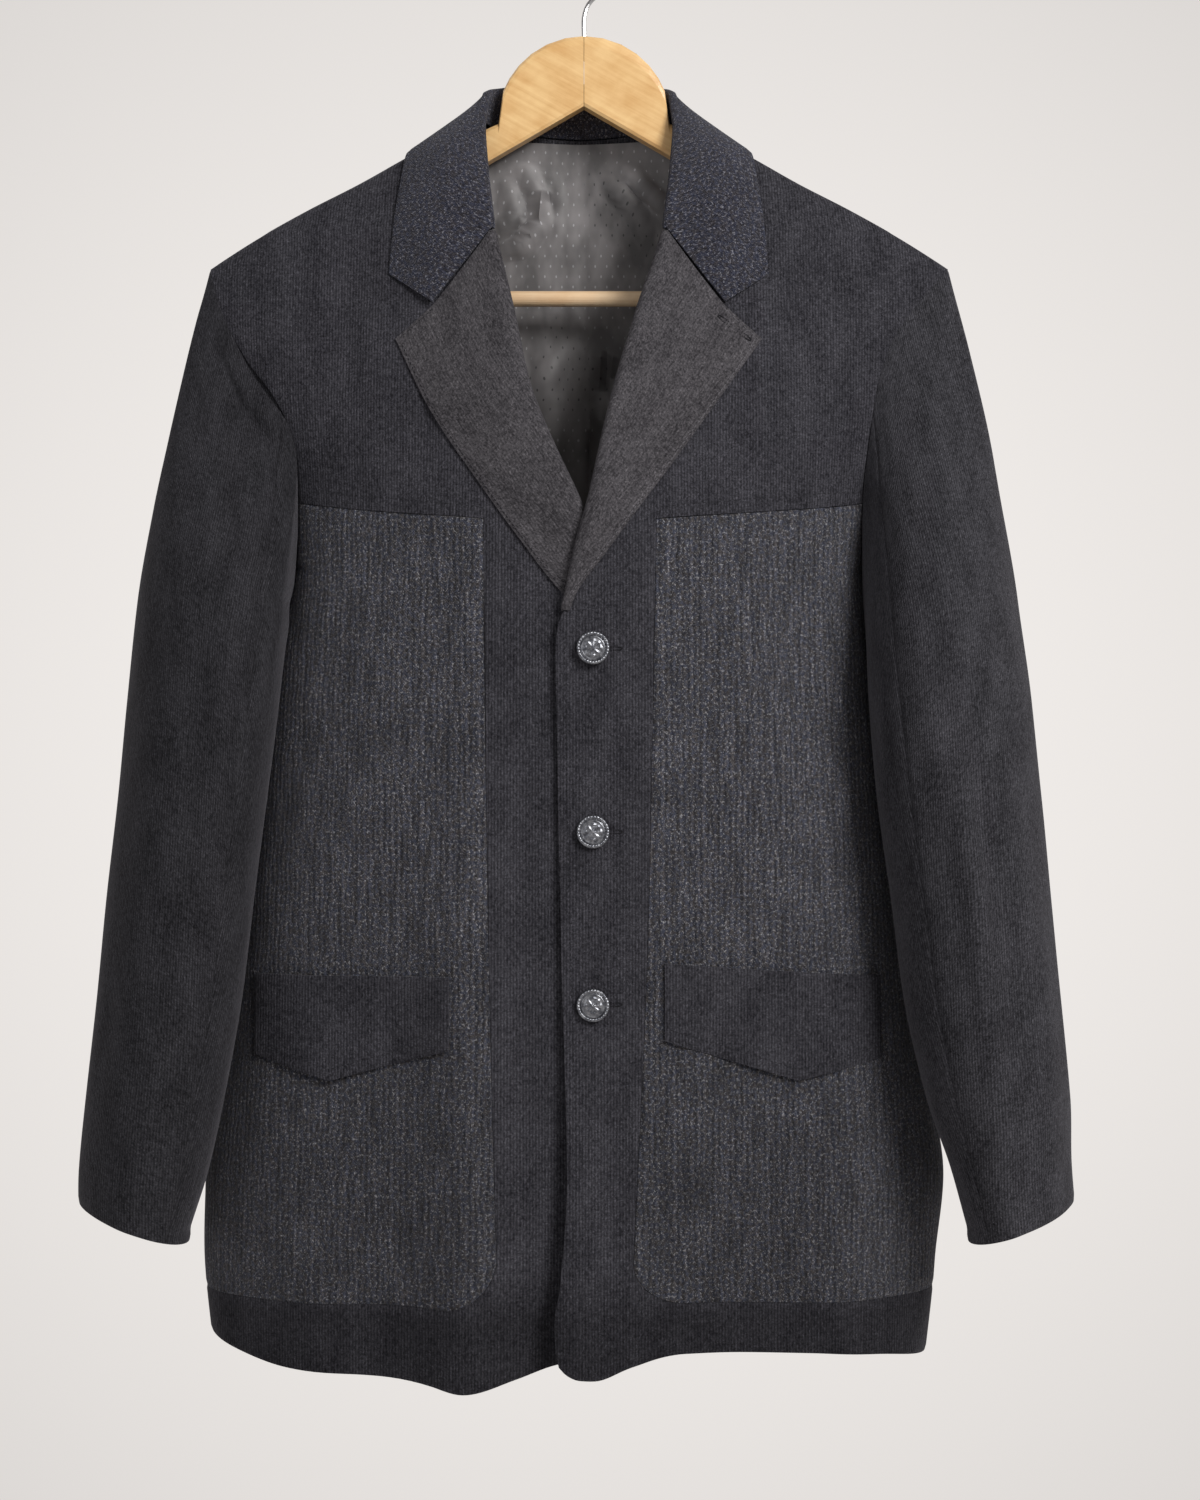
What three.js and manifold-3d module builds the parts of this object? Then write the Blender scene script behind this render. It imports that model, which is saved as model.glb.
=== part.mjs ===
import * as THREE from "three";
import { mergeVertices } from "three/addons/utils/BufferGeometryUtils.js";
import Module from "manifold-3d";

// Formal jacket on a wooden hanger. Millimetres, +X to the wearer's left, +Y to the wearer's back, +Z up.
// The origin is the bearing point, the inner top of the hanger's hook.

// Cloth and seams
const CLOTH = 2;
const LINING = 1;
const SEAM = 0.3;
const FRONT = -1;
const BACK = 1;
const LEFT = 1;
const RIGHT = -1;
const NAME = { [LEFT]: "left", [RIGHT]: "right" };
const HALF_TURN = Math.PI / 2;
const HALF_SEAM = SEAM / 2;

// Colours and finishes
const FINISH = {
  velvet: { color: 0x37363b, roughness: 0.95, metalness: 0 },
  lapel: { color: 0x45424a, roughness: 0.95, metalness: 0 },
  sleeve: { color: 0x302f33, roughness: 0.95, metalness: 0 },
  knit: { color: 0x414146, roughness: 0.9, metalness: 0 },
  lining: { color: 0x676467, roughness: 0.45, metalness: 0 },
  pewter: { color: 0x8a8784, roughness: 0.4, metalness: 0.9 },
  wood: { color: 0xe0b484, roughness: 0.45, metalness: 0 },
  bar: { color: 0xf0d2a4, roughness: 0.5, metalness: 0 },
  steel: { color: 0xc8c8ca, roughness: 0.25, metalness: 1 },
};

// The ridge of the shoulders: height at a distance out from the centre line.
const RIDGE = [
  { out: 0, z: -90 },
  { out: 65, z: -117 },
  { out: 109, z: -139 },
  { out: 142, z: -157.5 },
  { out: 174, z: -174 },
  { out: 206, z: -192 },
  { out: 239, z: -213 },
  { out: 300, z: -256 },
];
const NECK_OUT = 66;
const TIP_OUT = 238;

// The torso's half width and centre line at a depth below the origin. It is drawn in under the sleeves.
const TORSO = [
  { down: 190, half: 290, centre: -3 },
  { down: 240, half: 250, centre: -3 },
  { down: 300, half: 215, centre: -3 },
  { down: 360, half: 190, centre: -3 },
  { down: 409, half: 184, centre: -4 },
  { down: 460, half: 191, centre: -7 },
  { down: 520, half: 199, centre: -8 },
  { down: 620, half: 210, centre: -8 },
  { down: 700, half: 221, centre: -7 },
  { down: 750, half: 231, centre: -6 },
  { down: 793, half: 237, centre: -6 },
  { down: 850, half: 234, centre: -9 },
  { down: 915, half: 227, centre: -9 },
];
const TORSO_CENTRE = -3;

// The sections are rounded boxes, |x|^n + |y|^n = 1, and rounder where the arms lie against them.
const SECTION = [
  { down: 300, power: 2.6 },
  { down: 420, power: 2.2 },
  { down: 720, power: 2.2 },
  { down: 860, power: 2.6 },
];

// How far front and back stand off the hanger's plane, by the drop below the ridge.
const STAND_OFF = [
  { drop: 0, front: 0, back: 0 },
  { drop: 0.6, front: 3.3, back: 3.3 },
  { drop: 2, front: 6.2, back: 6 },
  { drop: 5, front: 9, back: 8.6 },
  { drop: 12, front: 13, back: 11.5 },
  { drop: 25, front: 18, back: 15 },
  { drop: 50, front: 26, back: 20 },
  { drop: 100, front: 39, back: 28 },
  { drop: 150, front: 51, back: 32 },
  { drop: 200, front: 61, back: 34 },
  { drop: 300, front: 73, back: 36 },
  { drop: 400, front: 77, back: 36 },
  { drop: 600, front: 74, back: 34 },
  { drop: 850, front: 74, back: 33 },
];

// Armhole edges: the distance in from the shoulder tip, by the drop below the tip.
const ARMHOLE = {
  front: {
    [LEFT]: [
      { drop: 0, inset: 0 },
      { drop: 22, inset: 19 },
      { drop: 47, inset: 37 },
      { drop: 76, inset: 48 },
      { drop: 118, inset: 55 },
      { drop: 158, inset: 58 },
      { drop: 196, inset: 58 },
    ],
    [RIGHT]: [
      { drop: 0, inset: 0 },
      { drop: 32, inset: 10 },
      { drop: 62, inset: 26 },
      { drop: 86, inset: 44 },
      { drop: 110, inset: 56 },
      { drop: 130, inset: 60 },
      { drop: 158, inset: 60 },
      { drop: 196, inset: 58 },
    ],
  },
  back: [
    { drop: 0, inset: 0 },
    { drop: 25, inset: 10 },
    { drop: 60, inset: 22 },
    { drop: 110, inset: 36 },
    { drop: 155, inset: 48 },
    { drop: 196, inset: 58 },
  ],
};
const ARMPIT_DROP = 196;

// The yoke seam leaves the armhole eleven fourteenths of the way down.
const YOKE_STEP = 11;
const ARMPIT_STEP = 14;
const ARM_STEPS = [0, 0.12, 0.45, 1, 2, 3, 4, 5, 6, 7, 8, 9, 10, 11, 12, 13, 14];

// Points of one piece closer than this are one point.
const WELD = 0.12;

// The edge of each front from the neck point down: first the fold of the collar and lapel, then the free edge.
const FRONT_EDGE = {
  [LEFT]: [
    { down: 117, x: 63 },
    { down: 150, x: 57 },
    { down: 195, x: 49 },
    { down: 251, x: 31.9 },
    { down: 295, x: 19.3 },
    { down: 322, x: 12.8 },
    { down: 370, x: 2.5 },
    { down: 396, x: -4.6 },
    { down: 423, x: -10.4 },
    { down: 440, x: -14 },
    { down: 461, x: -16.5 },
    { down: 500, x: -16 },
    { down: 650, x: -13 },
    { down: 783, x: -9.5 },
    { down: 848, x: -14 },
    { down: 868, x: -17.5 },
    { down: 885, x: -16.5 },
    { down: 910, x: -10 },
  ],
  [RIGHT]: [
    { down: 117, x: -69 },
    { down: 150, x: -63 },
    { down: 195, x: -55 },
    { down: 251, x: -42.2 },
    { down: 296, x: -32.5 },
    { down: 327, x: -20.8 },
    { down: 374, x: 0.5 },
    { down: 400, x: 10 },
    { down: 430, x: 19 },
    { down: 460, x: 22.5 },
    { down: 910, x: 23 },
  ],
};

// The radius of the lapel's fold. The front's own edge stays that far behind the fold.
const FOLD = [
  { down: 117, radius: 0 },
  { down: 135, radius: 1.5 },
  { down: 195, radius: 4.2 },
  { down: 350, radius: 4.2 },
  { down: 400, radius: 2.6 },
  { down: 436, radius: 2 },
  { down: 446, radius: 0 },
];

// The seam between the front band and the knitted panel.
const BAND_SEAM = {
  [LEFT]: [
    { down: 381, x: 45 },
    { down: 640, x: 39.5 },
    { down: 870, x: 29 },
  ],
  [RIGHT]: [
    { down: 381, x: -61 },
    { down: 640, x: -57 },
    { down: 870, x: -51 },
  ],
};
const YOKE_INNER_Z = -381;
const BAND_MID_Z = -424;
const HEM_SEAM_Z = { inner: -860, outer: -864 };
const PANEL_CORNER = 28;

// The height of the hem by the distance from the centre line, for each front.
const HEM = {
  [LEFT]: [
    { x: -15, z: -894 },
    { x: -11, z: -899.5 },
    { x: -4, z: -903 },
    { x: 6, z: -904 },
    { x: 31, z: -896.5 },
    { x: 62, z: -891 },
    { x: 140, z: -892 },
    { x: 180, z: -896 },
    { x: 226, z: -906 },
  ],
  [RIGHT]: [
    { x: -245, z: -888 },
    { x: -222, z: -895 },
    { x: -185, z: -902 },
    { x: -135, z: -904 },
    { x: -95, z: -906.5 },
    { x: -72, z: -910 },
    { x: -40, z: -905 },
    { x: -10, z: -897 },
    { x: 24, z: -895 },
  ],
};
const BACK_HEM_Z = -899;

// Soft folds of the fronts, standing forward: centre and width across, height above and below, and the span between.
const FOLDS = {
  [LEFT]: [
    { x: -14, width: 16, top: 500, bottom: 900, high: 1, low: 6 },
    { x: 5, width: 30, top: 700, bottom: 900, high: 0, low: 5 },
    { x: 90, width: 30, top: 600, bottom: 900, high: 0, low: -4 },
    { x: 160, width: 26, top: 560, bottom: 900, high: 0, low: 5 },
  ],
  [RIGHT]: [
    { x: -73, width: 30, top: 420, bottom: 905, high: 3, low: 18 },
    { x: -108, width: 26, top: 420, bottom: 905, high: -2, low: 0 },
    { x: -22, width: 30, top: 620, bottom: 905, high: 0, low: -5 },
    { x: -165, width: 30, top: 600, bottom: 900, high: 0, low: 6 },
  ],
};

// The wearer's left front lies over the right one: how far it stands off, and where that fades out.
const OVERLAP = [
  { down: 330, lift: 0 },
  { down: 372, lift: 6.4 },
  { down: 400, lift: 7 },
  { down: 440, lift: 6.6 },
  { down: 475, lift: 4.4 },
  { down: 530, lift: 3.2 },
  { down: 910, lift: 3.2 },
];
const OVERLAP_FADE = { from: 27, to: 48 };

// The shoulder seam's half gap, which fades out below the ridge.
const RIDGE_GAP = 0.3;

// The height at which the hem's run across is read, and millimetres across for each radian at a panel's corner.
const HEM_LEVEL = -895;
const CORNER_RADIUS_TURN = 200;
const YOKE_GAP = 0.25;
const PANEL_ROWS = [0, 0.035, 0.09, 0.17, 0.26, 0.35, 0.44, 0.53, 0.62, 0.72, 0.82, 0.91, 1];

// The back: one piece with the shoulders' ridges and the neck as its top edge.
const NECK_DIP = 5;

// The rows of the cloth below the armpit, closer where the side curves.
const BACK_ROWS = [0, 0.03, 0.08, 0.16, 0.28, 0.42, 0.57, 0.71, 0.86, 1];
const LINING_TURN = 1;
const LINING_GAP = 2;
const LINING_TOP = -125;
const LINING_DROP = 17;
const LINING_LEVEL = -180;
const BACK_ACROSS = [0, 0.06, 0.14, 0.22, 0.3, 0.36, 0.42, 0.5, 0.58, 0.64, 0.7, 0.78, 0.86, 0.94, 1];

// Lapels: the turned-out edge of each front. Corner and outer edge in x and z, from the corner down to the break.
const LAPEL = {
  [LEFT]: {
    start: [49, -197.5],
    notch: [87.5, -244.8],
    break: -438,
    edge: [
      { down: 266, x: 111.4 },
      { down: 323, x: 71.7 },
      { down: 353, x: 50.2 },
      { down: 403, x: 14 },
      { down: 430, x: -5 },
      { down: 440, x: -8.5 },
    ],
  },
  [RIGHT]: {
    start: [-55, -197.5],
    notch: [-93.5, -244.8],
    break: -434,
    edge: [
      { down: 266, x: -117.4 },
      { down: 312, x: -95 },
      { down: 360, x: -63.1 },
      { down: 396, x: -37.2 },
      { down: 428, x: -11.6 },
      { down: 440, x: 4 },
    ],
  },
};
const LAPEL_CLOTH = 1.6;
const LAPEL_GAP = 0.45;

// The collar from the centre of the back round to its tip. Fold and middle are points.
// The free edge lies on the shoulder at a distance out and a root of the drop.
const COLLAR = [
  {
    at: 0,
    foldOut: 0,
    foldY: 27,
    foldZ: -84,
    midOut: 0,
    midY: 35,
    midZ: -112,
    edgeOut: 0,
    edgeQ: -7.2,
  },
  {
    at: 1,
    foldOut: 28,
    foldY: 24,
    foldZ: -86,
    midOut: 36,
    midY: 33,
    midZ: -113,
    edgeOut: 45,
    edgeQ: -5.9,
  },
  {
    at: 2,
    foldOut: 51,
    foldY: 14,
    foldZ: -91,
    midOut: 66,
    midY: 23,
    midZ: -116,
    edgeOut: 84,
    edgeQ: -4.2,
  },
  {
    at: 3,
    foldOut: 60,
    foldY: 0,
    foldZ: -98,
    midOut: 83,
    midY: 1,
    midZ: -118,
    edgeOut: 108,
    edgeQ: 0,
  },
  {
    at: 4,
    foldOut: 61,
    foldY: -14,
    foldZ: -120,
    midOut: 88,
    midY: -21,
    midZ: -136,
    edgeOut: 113,
    edgeQ: 4.1,
  },
  {
    at: 5,
    foldOut: 57,
    foldY: -27,
    foldZ: -156,
    midOut: 87,
    midY: -34,
    midZ: -168,
    edgeOut: 116.5,
    edgeQ: 6.5,
  },
  {
    at: 6,
    foldOut: 52,
    foldY: -37,
    foldZ: -195.4,
    midOut: 91.5,
    midY: -46,
    midZ: -243,
    edgeOut: 119,
    edgeQ: 8.9,
  },
];
const COLLAR_END = 6;
const COLLAR_RADIUS = 3;
const COLLAR_GAP = 0.5;

// Sleeve sections by depth below the origin: centre and half the width as seen from the front.
const SLEEVE = {
  [LEFT]: [
    { down: 205, centre: 197, half: 46, y: -14 },
    { down: 265, centre: 207.9, half: 47.9, y: -18 },
    { down: 330, centre: 216.2, half: 49.2, y: -24 },
    { down: 370, centre: 219.5, half: 49.5, y: -27 },
    { down: 431, centre: 223.8, half: 50.8, y: -34 },
    { down: 492, centre: 228.8, half: 52.3, y: -40 },
    { down: 553, centre: 234, half: 52, y: -45 },
    { down: 614, centre: 240.4, half: 50.4, y: -49 },
    { down: 675, centre: 246.6, half: 49.1, y: -53 },
    { down: 736, centre: 256, half: 45.2, y: -56 },
    { down: 779, centre: 263.8, half: 38.8, y: -58 },
    { down: 815, centre: 270, half: 35.5, y: -60 },
  ],
  [RIGHT]: [
    { down: 205, centre: -203, half: 46, y: -14 },
    { down: 265, centre: -213.9, half: 47.9, y: -18 },
    { down: 330, centre: -222, half: 49, y: -24 },
    { down: 370, centre: -225.4, half: 50.4, y: -27 },
    { down: 431, centre: -231.5, half: 50.5, y: -34 },
    { down: 492, centre: -237.5, half: 49.5, y: -40 },
    { down: 553, centre: -243.5, half: 48, y: -45 },
    { down: 614, centre: -250.1, half: 47.1, y: -49 },
    { down: 675, centre: -255.9, half: 45.9, y: -53 },
    { down: 736, centre: -264.1, half: 43.6, y: -56 },
    { down: 779, centre: -270.5, half: 41, y: -58 },
    { down: 815, centre: -276, half: 36, y: -60 },
  ],
};

// The section is an ellipse whose long axis runs from the front of the body to the back of the arm.
const SLEEVE_TURN = 0.42;
const SLEEVE_LONG = [
  { down: 205, long: 66 },
  { down: 431, long: 66 },
  { down: 614, long: 60 },
  { down: 815, long: 49 },
];
const CUFF_Z = { outer: -800, front: -814, inner: -822, back: -808 };

// The two pieces of a sleeve meet behind the arm and inside its front.
const UNDER_FROM = 9;
const UNDER_TO = 24;

// The sleeve lies against the body's side: how far out its cloth has to be at y and z.
const EDGE_OFF = { seam: 0.48, cap: 1.8, armpit: 0.9 };
const CAP_STEPS = 2.5;
const BESIDE = { near: 2.6, far: 3.2, over: 12, above: 26 };

// Pocket flaps: the ends and the point of each, in x and z on the front.
const FLAP = {
  [LEFT]: {
    gap: 0.7,
    inner: 49.9,
    point: 132,
    outer: 186,
    top: [-652.5, -663],
    bottom: [-699.7, -725.3, -714],
  },
  [RIGHT]: {
    gap: 1.9,
    inner: -81.4,
    point: -156,
    outer: -206,
    top: [-660, -662],
    bottom: [-704, -725.5, -712],
  },
};

// Buttons: a shank, a thin plate, a raised rim and a low dome.
const BUTTON_X = 6.1;
const BUTTON_SIDES = 20;
const BUTTONS = [
  { name: "button_top", z: -461 },
  { name: "button_middle", z: -572 },
  { name: "button_bottom", z: -677 },
];

const BUTTON_PROFILE = [
  { radius: 0, ahead: 0 },
  { radius: 2.8, ahead: 0 },
  { radius: 2.8, ahead: 1.8 },
  { radius: 8.8, ahead: 2 },
  { radius: 10, ahead: 2.8 },
  { radius: 10, ahead: 3.8 },
  { radius: 9.3, ahead: 4.6 },
  { radius: 8.4, ahead: 4.1 },
  { radius: 7.7, ahead: 4.1 },
  { radius: 6, ahead: 4.9 },
  { radius: 3, ahead: 5.5 },
  { radius: 0, ahead: 5.7 },
];

// The hanger: two flat arms that meet under a round head, a trouser bar and a wire hook.
const ARM_HALF = 5.2;
const HEAD = { radius: 56, z: -118 };
const ARM_TIP = 230;
const ARM_TOP_GAP = 4.6;
const ARM_STATIONS = [
  SEAM / 2, 12, 24, 34, 42, 48, 52, 55, 57, 60, 75, 105, 135, 165, 184, 190, 196, 202, 214, 224, ARM_TIP,
];
const NOSE = { from: 212, narrower: 0.45, power: 0.8 };
const UNDERSIDE = { z: -108.4, slope: 0.58, heel: 15, from: 186, to: 198 };
const BAR = { radius: 5, z: -231.6, end: 207, hole: 5.3, holeEnd: 209 };
const BORE = { length: 28.5, z: -64.25 };
const WIRE = 1.5;
const HOOK_RADIUS = 19;
const HOOK_FROM = -30;
const HOOK_TO = 205;
const HOOK_STEP = 11.75;
const STEM = [
  { x: 0, z: -78 },
  { x: 0, z: -62 },
  { x: 0, z: -50 },
  { x: 2.6, z: -42 },
  { x: 9, z: -35 },
];

// The arm's section as shares: y across the half thickness, and how far below the top or above the underside.
const ARM_SECTION = [
  { y: 0, below: 0 },
  { y: 0.55, below: 1.2 },
  { y: 0.88, below: 3.6 },
  { y: 1, below: 8 },
  { y: 1, above: 2 },
  { y: 0.8, above: 0 },
  { y: -0.8, above: 0 },
  { y: -1, above: 2 },
  { y: -1, below: 8 },
  { y: -0.88, below: 3.6 },
  { y: -0.55, below: 1.2 },
];

// Shares and steps across the pieces of a front
const YOKE_PART = 0.36;
const ARC_SHARE = 0.25;
const ARC_STEPS = 5;
const PANEL_ACROSS = [0.36, 0.46, 0.56, 0.66, 0.76, 0.88, 1];
const PANEL_TOP_STEPS = 3;
const BAND_ACROSS = [0, 0.12, 0.3, 0.55, 0.8, 1];
const BAND_STEPS = 12;
const HEM_ROWS = [0, 0.35, 0.7, 1];
// The front's edge eases off the fold below the break.
const BREAK_EASE = { z: 446, over: 20 };

// The back stands out under the collar at the nape.
const NAPE = { lift: 10, half: 60, z: -120, fade: 3 };

// Lining: how far it ends above the hem, and its rows, closer towards the top.
const LINING_HEM = 22;
const LINING_STEPS = 12;
const LINING_GRADED = 1.4;

// Lapel: the share of its top edge along the collar, the share of the cloth turned under, and its steps.
const GORGE_SHARE = 0.58;
const LAPEL_TURN = 0.3;
const LAPEL_CORNER_Z = -266;
const LAPEL_SETTLE = 1.15;
const LAPEL_ACROSS = [0, 0.06, 0.12, 0.18, 0.24, 0.3, 0.37, 0.46, 0.58, 0.706, 0.8, 0.9, 1];
const LAPEL_STEPS = 16;
const FOLD_LEAST = 1.9;

// Collar: stand, fold and fall as shares of its cloth, and its steps.
const STAND_SHARE = 0.25;
const FALL_FROM = 0.4;
const COLLAR_LIFT = 0.8;
const COLLAR_END_Z = -195.4;
const COLLAR_STATIONS = [1, 0.965, 0.91, 0.84, 0.76, 0.68, 0.6, 0.54, 0.5, 0.46, 0.4, 0.3, 0.15];
const COLLAR_ROWS = [0, 0.12, 0.25, 0.29, 0.325, 0.36, 0.4, 0.5, 0.6, 0.7, 0.8, 0.9, 1];

// Sleeve: its steps along, the reach of the armhole's shape, and half the gap between its two pieces in steps.
const SLEEVE_ROWS = [0, 0.025, 0.06, 0.11, 0.17, 0.24, 0.32, 0.4, 0.5, 0.6, 0.7, 0.8, 0.9, 1];
const ROOT_FADE = 0.36;
const CAP_GRADED = 0.75;
const PIECE_GAP = 0.05;

// Sides and steps of the round parts
const BAR_SIDES = 20;
const BORE_SIDES = 16;
const WIRE_SIDES = 8;
const HOOK_STEPS = 44;

const wasm = await Module();

wasm.setup();

// Reads one column of a table at any position, by a smooth curve that never overshoots its rows.
function curve(table, key, value) {
  const at = table.map((row) => row[key]);
  const of = table.map((row) => row[value]);
  const last = at.length - 1;
  const step = (i) => (of[i + 1] - of[i]) / (at[i + 1] - at[i]);
  const slope = at.map((_, i) => {
    if (i === 0) return step(0);
    if (i === last) return step(last - 1);
    const before = step(i - 1);
    const after = step(i);
    return before * after <= 0 ? 0 : 2 / (1 / before + 1 / after);
  });
  return (position) => {
    const p = clamp(position, at[0], at[last]);
    let i = 0;
    while (i < last - 1 && p > at[i + 1]) i += 1;
    const wide = at[i + 1] - at[i];
    const t = (p - at[i]) / wide;
    const rise = of[i + 1] - of[i];
    const bend = t * (1 - t) * wide;
    const ease = t * t * (3 - 2 * t);
    return of[i] + rise * ease + bend * ((1 - t) * slope[i] - t * slope[i + 1]);
  };
}

function clamp(value, low, high) {
  return Math.min(Math.max(value, low), high);
}

function mix(a, b, t) {
  return a + (b - a) * t;
}

function smooth(t) {
  const s = clamp(t, 0, 1);
  return s * s * (3 - 2 * s);
}

function bump(distance, width) {
  return Math.exp(-((distance / width) ** 2));
}

const ridgeZ = curve(RIDGE, "out", "z");
const halfWidth = curve(TORSO, "down", "half");
const centreX = curve(TORSO, "down", "centre");
const sectionPower = curve(SECTION, "down", "power");
const byRoot = STAND_OFF.map((row) => ({ ...row, root: Math.sqrt(row.drop) }));
const frontDepth = curve(byRoot, "root", "front");
const backDepth = curve(byRoot, "root", "back");

// The angle round the section, from the centre line, of the body point at x and z.
function turnOf(x, z) {
  const across = clamp((x - centreX(-z)) / halfWidth(-z), -1, 1);
  const power = sectionPower(-z);
  const deep = (1 - Math.abs(across) ** power) ** (1 / power);
  return Math.atan2(across, deep);
}

// A point of the body's outside, at an angle round the section and a height.
function torso(side, turn, z) {
  const s = Math.sin(turn);
  const c = Math.max(Math.cos(turn), 0);
  const power = sectionPower(-z);
  const r = (Math.abs(s) ** power + c ** power) ** (1 / power);
  const x = centreX(-z) + (halfWidth(-z) * s) / r;
  const drop = Math.max(ridgeZ(Math.abs(x - TORSO_CENTRE)) - z, 0);
  const root = Math.sqrt(drop);
  const depth = side === FRONT ? frontDepth(root) : backDepth(root);
  return [x, (side * depth * c) / r, z];
}

function minus(a, b) {
  return [a[0] - b[0], a[1] - b[1], a[2] - b[2]];
}

function cross(a, b) {
  return [a[1] * b[2] - a[2] * b[1], a[2] * b[0] - a[0] * b[2], a[0] * b[1] - a[1] * b[0]];
}

function unit(a) {
  const size = Math.hypot(...a) || 1;
  return a.map((value) => value / size);
}

function along(point, direction, distance) {
  return point.map((value, i) => value + direction[i] * distance);
}

// Evenly spaced values from 0 to 1.
function even(count) {
  return Array.from({ length: count + 1 }, (_, i) => i / count);
}

// The outward normal of a patch: seen from outside, u runs to the right and v runs down.
function normalOf(at, u, v) {
  const step = 1e-3;
  const across = minus(at(Math.min(u + step, 1), v), at(Math.max(u - step, 0), v));
  const down = minus(at(u, Math.min(v + step, 1)), at(u, Math.max(v - step, 0)));
  return unit(cross(down, across));
}

// One closed wall from patches that share their edge points. Its faces stand out and in from the patches' points.
function wall(name, patches, out, inward) {
  const points = [];
  const normals = [];
  const faces = [];
  const weld = (point, normal) => {
    let i = points.findIndex((p) => Math.hypot(...minus(p, point)) < WELD);
    if (i < 0) {
      i = points.length;
      points.push(point);
      normals.push([0, 0, 0]);
    }
    normals[i] = along(normals[i], normal, 1);
    return i;
  };
  for (const { at, us, vs } of patches) {
    const grid = vs.map((v) => us.map((u) => weld(at(u, v), normalOf(at, u, v))));
    for (let r = 0; r + 1 < vs.length; r += 1) {
      for (let c = 0; c + 1 < us.length; c += 1) {
        const quad = [grid[r][c], grid[r + 1][c], grid[r + 1][c + 1], grid[r][c + 1]];
        faces.push([quad[0], quad[1], quad[2]], [quad[0], quad[2], quad[3]]);
      }
    }
  }
  const count = points.length;
  const whole = faces.filter(([a, b, c]) => a !== b && b !== c && c !== a);
  const used = new Set(whole.flatMap(([a, b, c]) => [`${a},${b}`, `${b},${c}`, `${c},${a}`]));
  const closed = whole.flatMap(([a, b, c]) => [
    [a, b, c],
    [a + count, c + count, b + count],
  ]);
  for (const edge of used) {
    const [a, b] = edge.split(",").map(Number);
    if (used.has(`${b},${a}`)) continue;
    closed.push([b, a, a + count], [b, a + count, b + count]);
  }
  const directions = normals.map(unit);
  const outer = points.map((p, i) => along(p, directions[i], out));
  const inner = points.map((p, i) => along(p, directions[i], -inward));
  return meshOf(name, [...outer, ...inner].flat(), closed.flat());
}

function meshOf(name, positions, indices) {
  const geometry = new THREE.BufferGeometry();
  geometry.setAttribute("position", new THREE.Float32BufferAttribute(positions, 3));
  geometry.setIndex(indices);
  const mesh = new THREE.Mesh(geometry);
  mesh.name = name;
  return mesh;
}

// A four-sided patch of the body between curves of [turn, z]: top and bottom run from the inner edge outward.
function spread(top, bottom, inner, outer, u, v) {
  const a = top(u);
  const b = bottom(u);
  const c = inner(v);
  const d = outer(v);
  const corners = [top(0), top(1), bottom(0), bottom(1)];
  return [0, 1].map((i) => {
    const rows = mix(a[i], b[i], v);
    const columns = mix(c[i], d[i], u);
    const upper = mix(corners[0][i], corners[1][i], u);
    const lower = mix(corners[2][i], corners[3][i], u);
    return rows + columns - mix(upper, lower, v);
  });
}

// On the wearer's right the inner edge is at the viewer's right, so a patch is read the other way across.
function handed(side, at, us, vs) {
  if (side === LEFT) return { at, us, vs };
  return { at: (u, v) => at(1 - u, v), us: us.map((u) => 1 - u).reverse(), vs };
}

const foldRadius = curve(FOLD, "down", "radius");
const ARMPIT_Z = ridgeZ(TIP_OUT) - ARMPIT_DROP;
const overlapLift = curve(OVERLAP, "down", "lift");

function frontLift(side, x, z) {
  let lift = 0;
  for (const fold of FOLDS[side]) {
    const t = smooth((-z - fold.top) / (fold.bottom - fold.top));
    const begun = smooth((-z - fold.top + 60) / 60);
    lift += begun * mix(fold.high, fold.low, t) * bump(x - fold.x, fold.width);
  }
  if (side === LEFT) {
    const { from, to } = OVERLAP_FADE;
    lift += overlapLift(-z) * smooth((to - x) / (to - from));
  }
  return lift;
}

// A point of a front's outside.
function front(side, turn, z) {
  const [x, y] = torso(FRONT, turn, z);
  return [x, y - frontLift(side, x, z) - ridgeGap(x, z), z];
}

function ridgeGap(x, z) {
  const drop = Math.max(ridgeZ(Math.abs(x - TORSO_CENTRE)) - z, 0);
  return RIDGE_GAP * Math.exp(-drop / 30);
}

function frontAt(side, x, z) {
  return front(side, turnOf(x, z), z);
}

// Draws a turn back towards the centre line by a distance along the cloth.
function drawnBack(face, turn, z, distance) {
  const step = 1e-3 * Math.sign(turn);
  const size = Math.hypot(...minus(torso(face, turn, z), torso(face, turn - step, z)));
  return turn - (step * distance) / size;
}

function sideTurn(face, side, z) {
  return drawnBack(face, side * HALF_TURN, z, HALF_SEAM);
}

// The armhole's edge on one face of the body at a drop below the tip, as [x, z].
function armhole(face, side, drop) {
  const table = face === FRONT ? ARMHOLE.front[side] : ARMHOLE.back;
  const out = TIP_OUT - curve(table, "drop", "inset")(drop);
  return [TORSO_CENTRE + side * out, ridgeZ(TIP_OUT) - drop];
}

// The same edge as [turn, z]. It ends at the top of the side seam.
function armTurn(face, side, step) {
  const [x, z] = armhole(face, side, (ARMPIT_DROP * step) / ARMPIT_STEP);
  return [step > ARMPIT_STEP - 1e-6 ? side * HALF_TURN : turnOf(x, z), z];
}

// The edge of the body's cloth there, drawn back from the sleeve by half a seam.
function armEdge(face, side, step) {
  const [turn, z] = armTurn(face, side, step);
  return [drawnBack(face, turn, z, HALF_SEAM), z];
}

function ridgeEdge(side, u) {
  const out = mix(NECK_OUT, TIP_OUT, u);
  const x = TORSO_CENTRE + side * out;
  const z = ridgeZ(out);
  return [turnOf(x, z), z];
}

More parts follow.
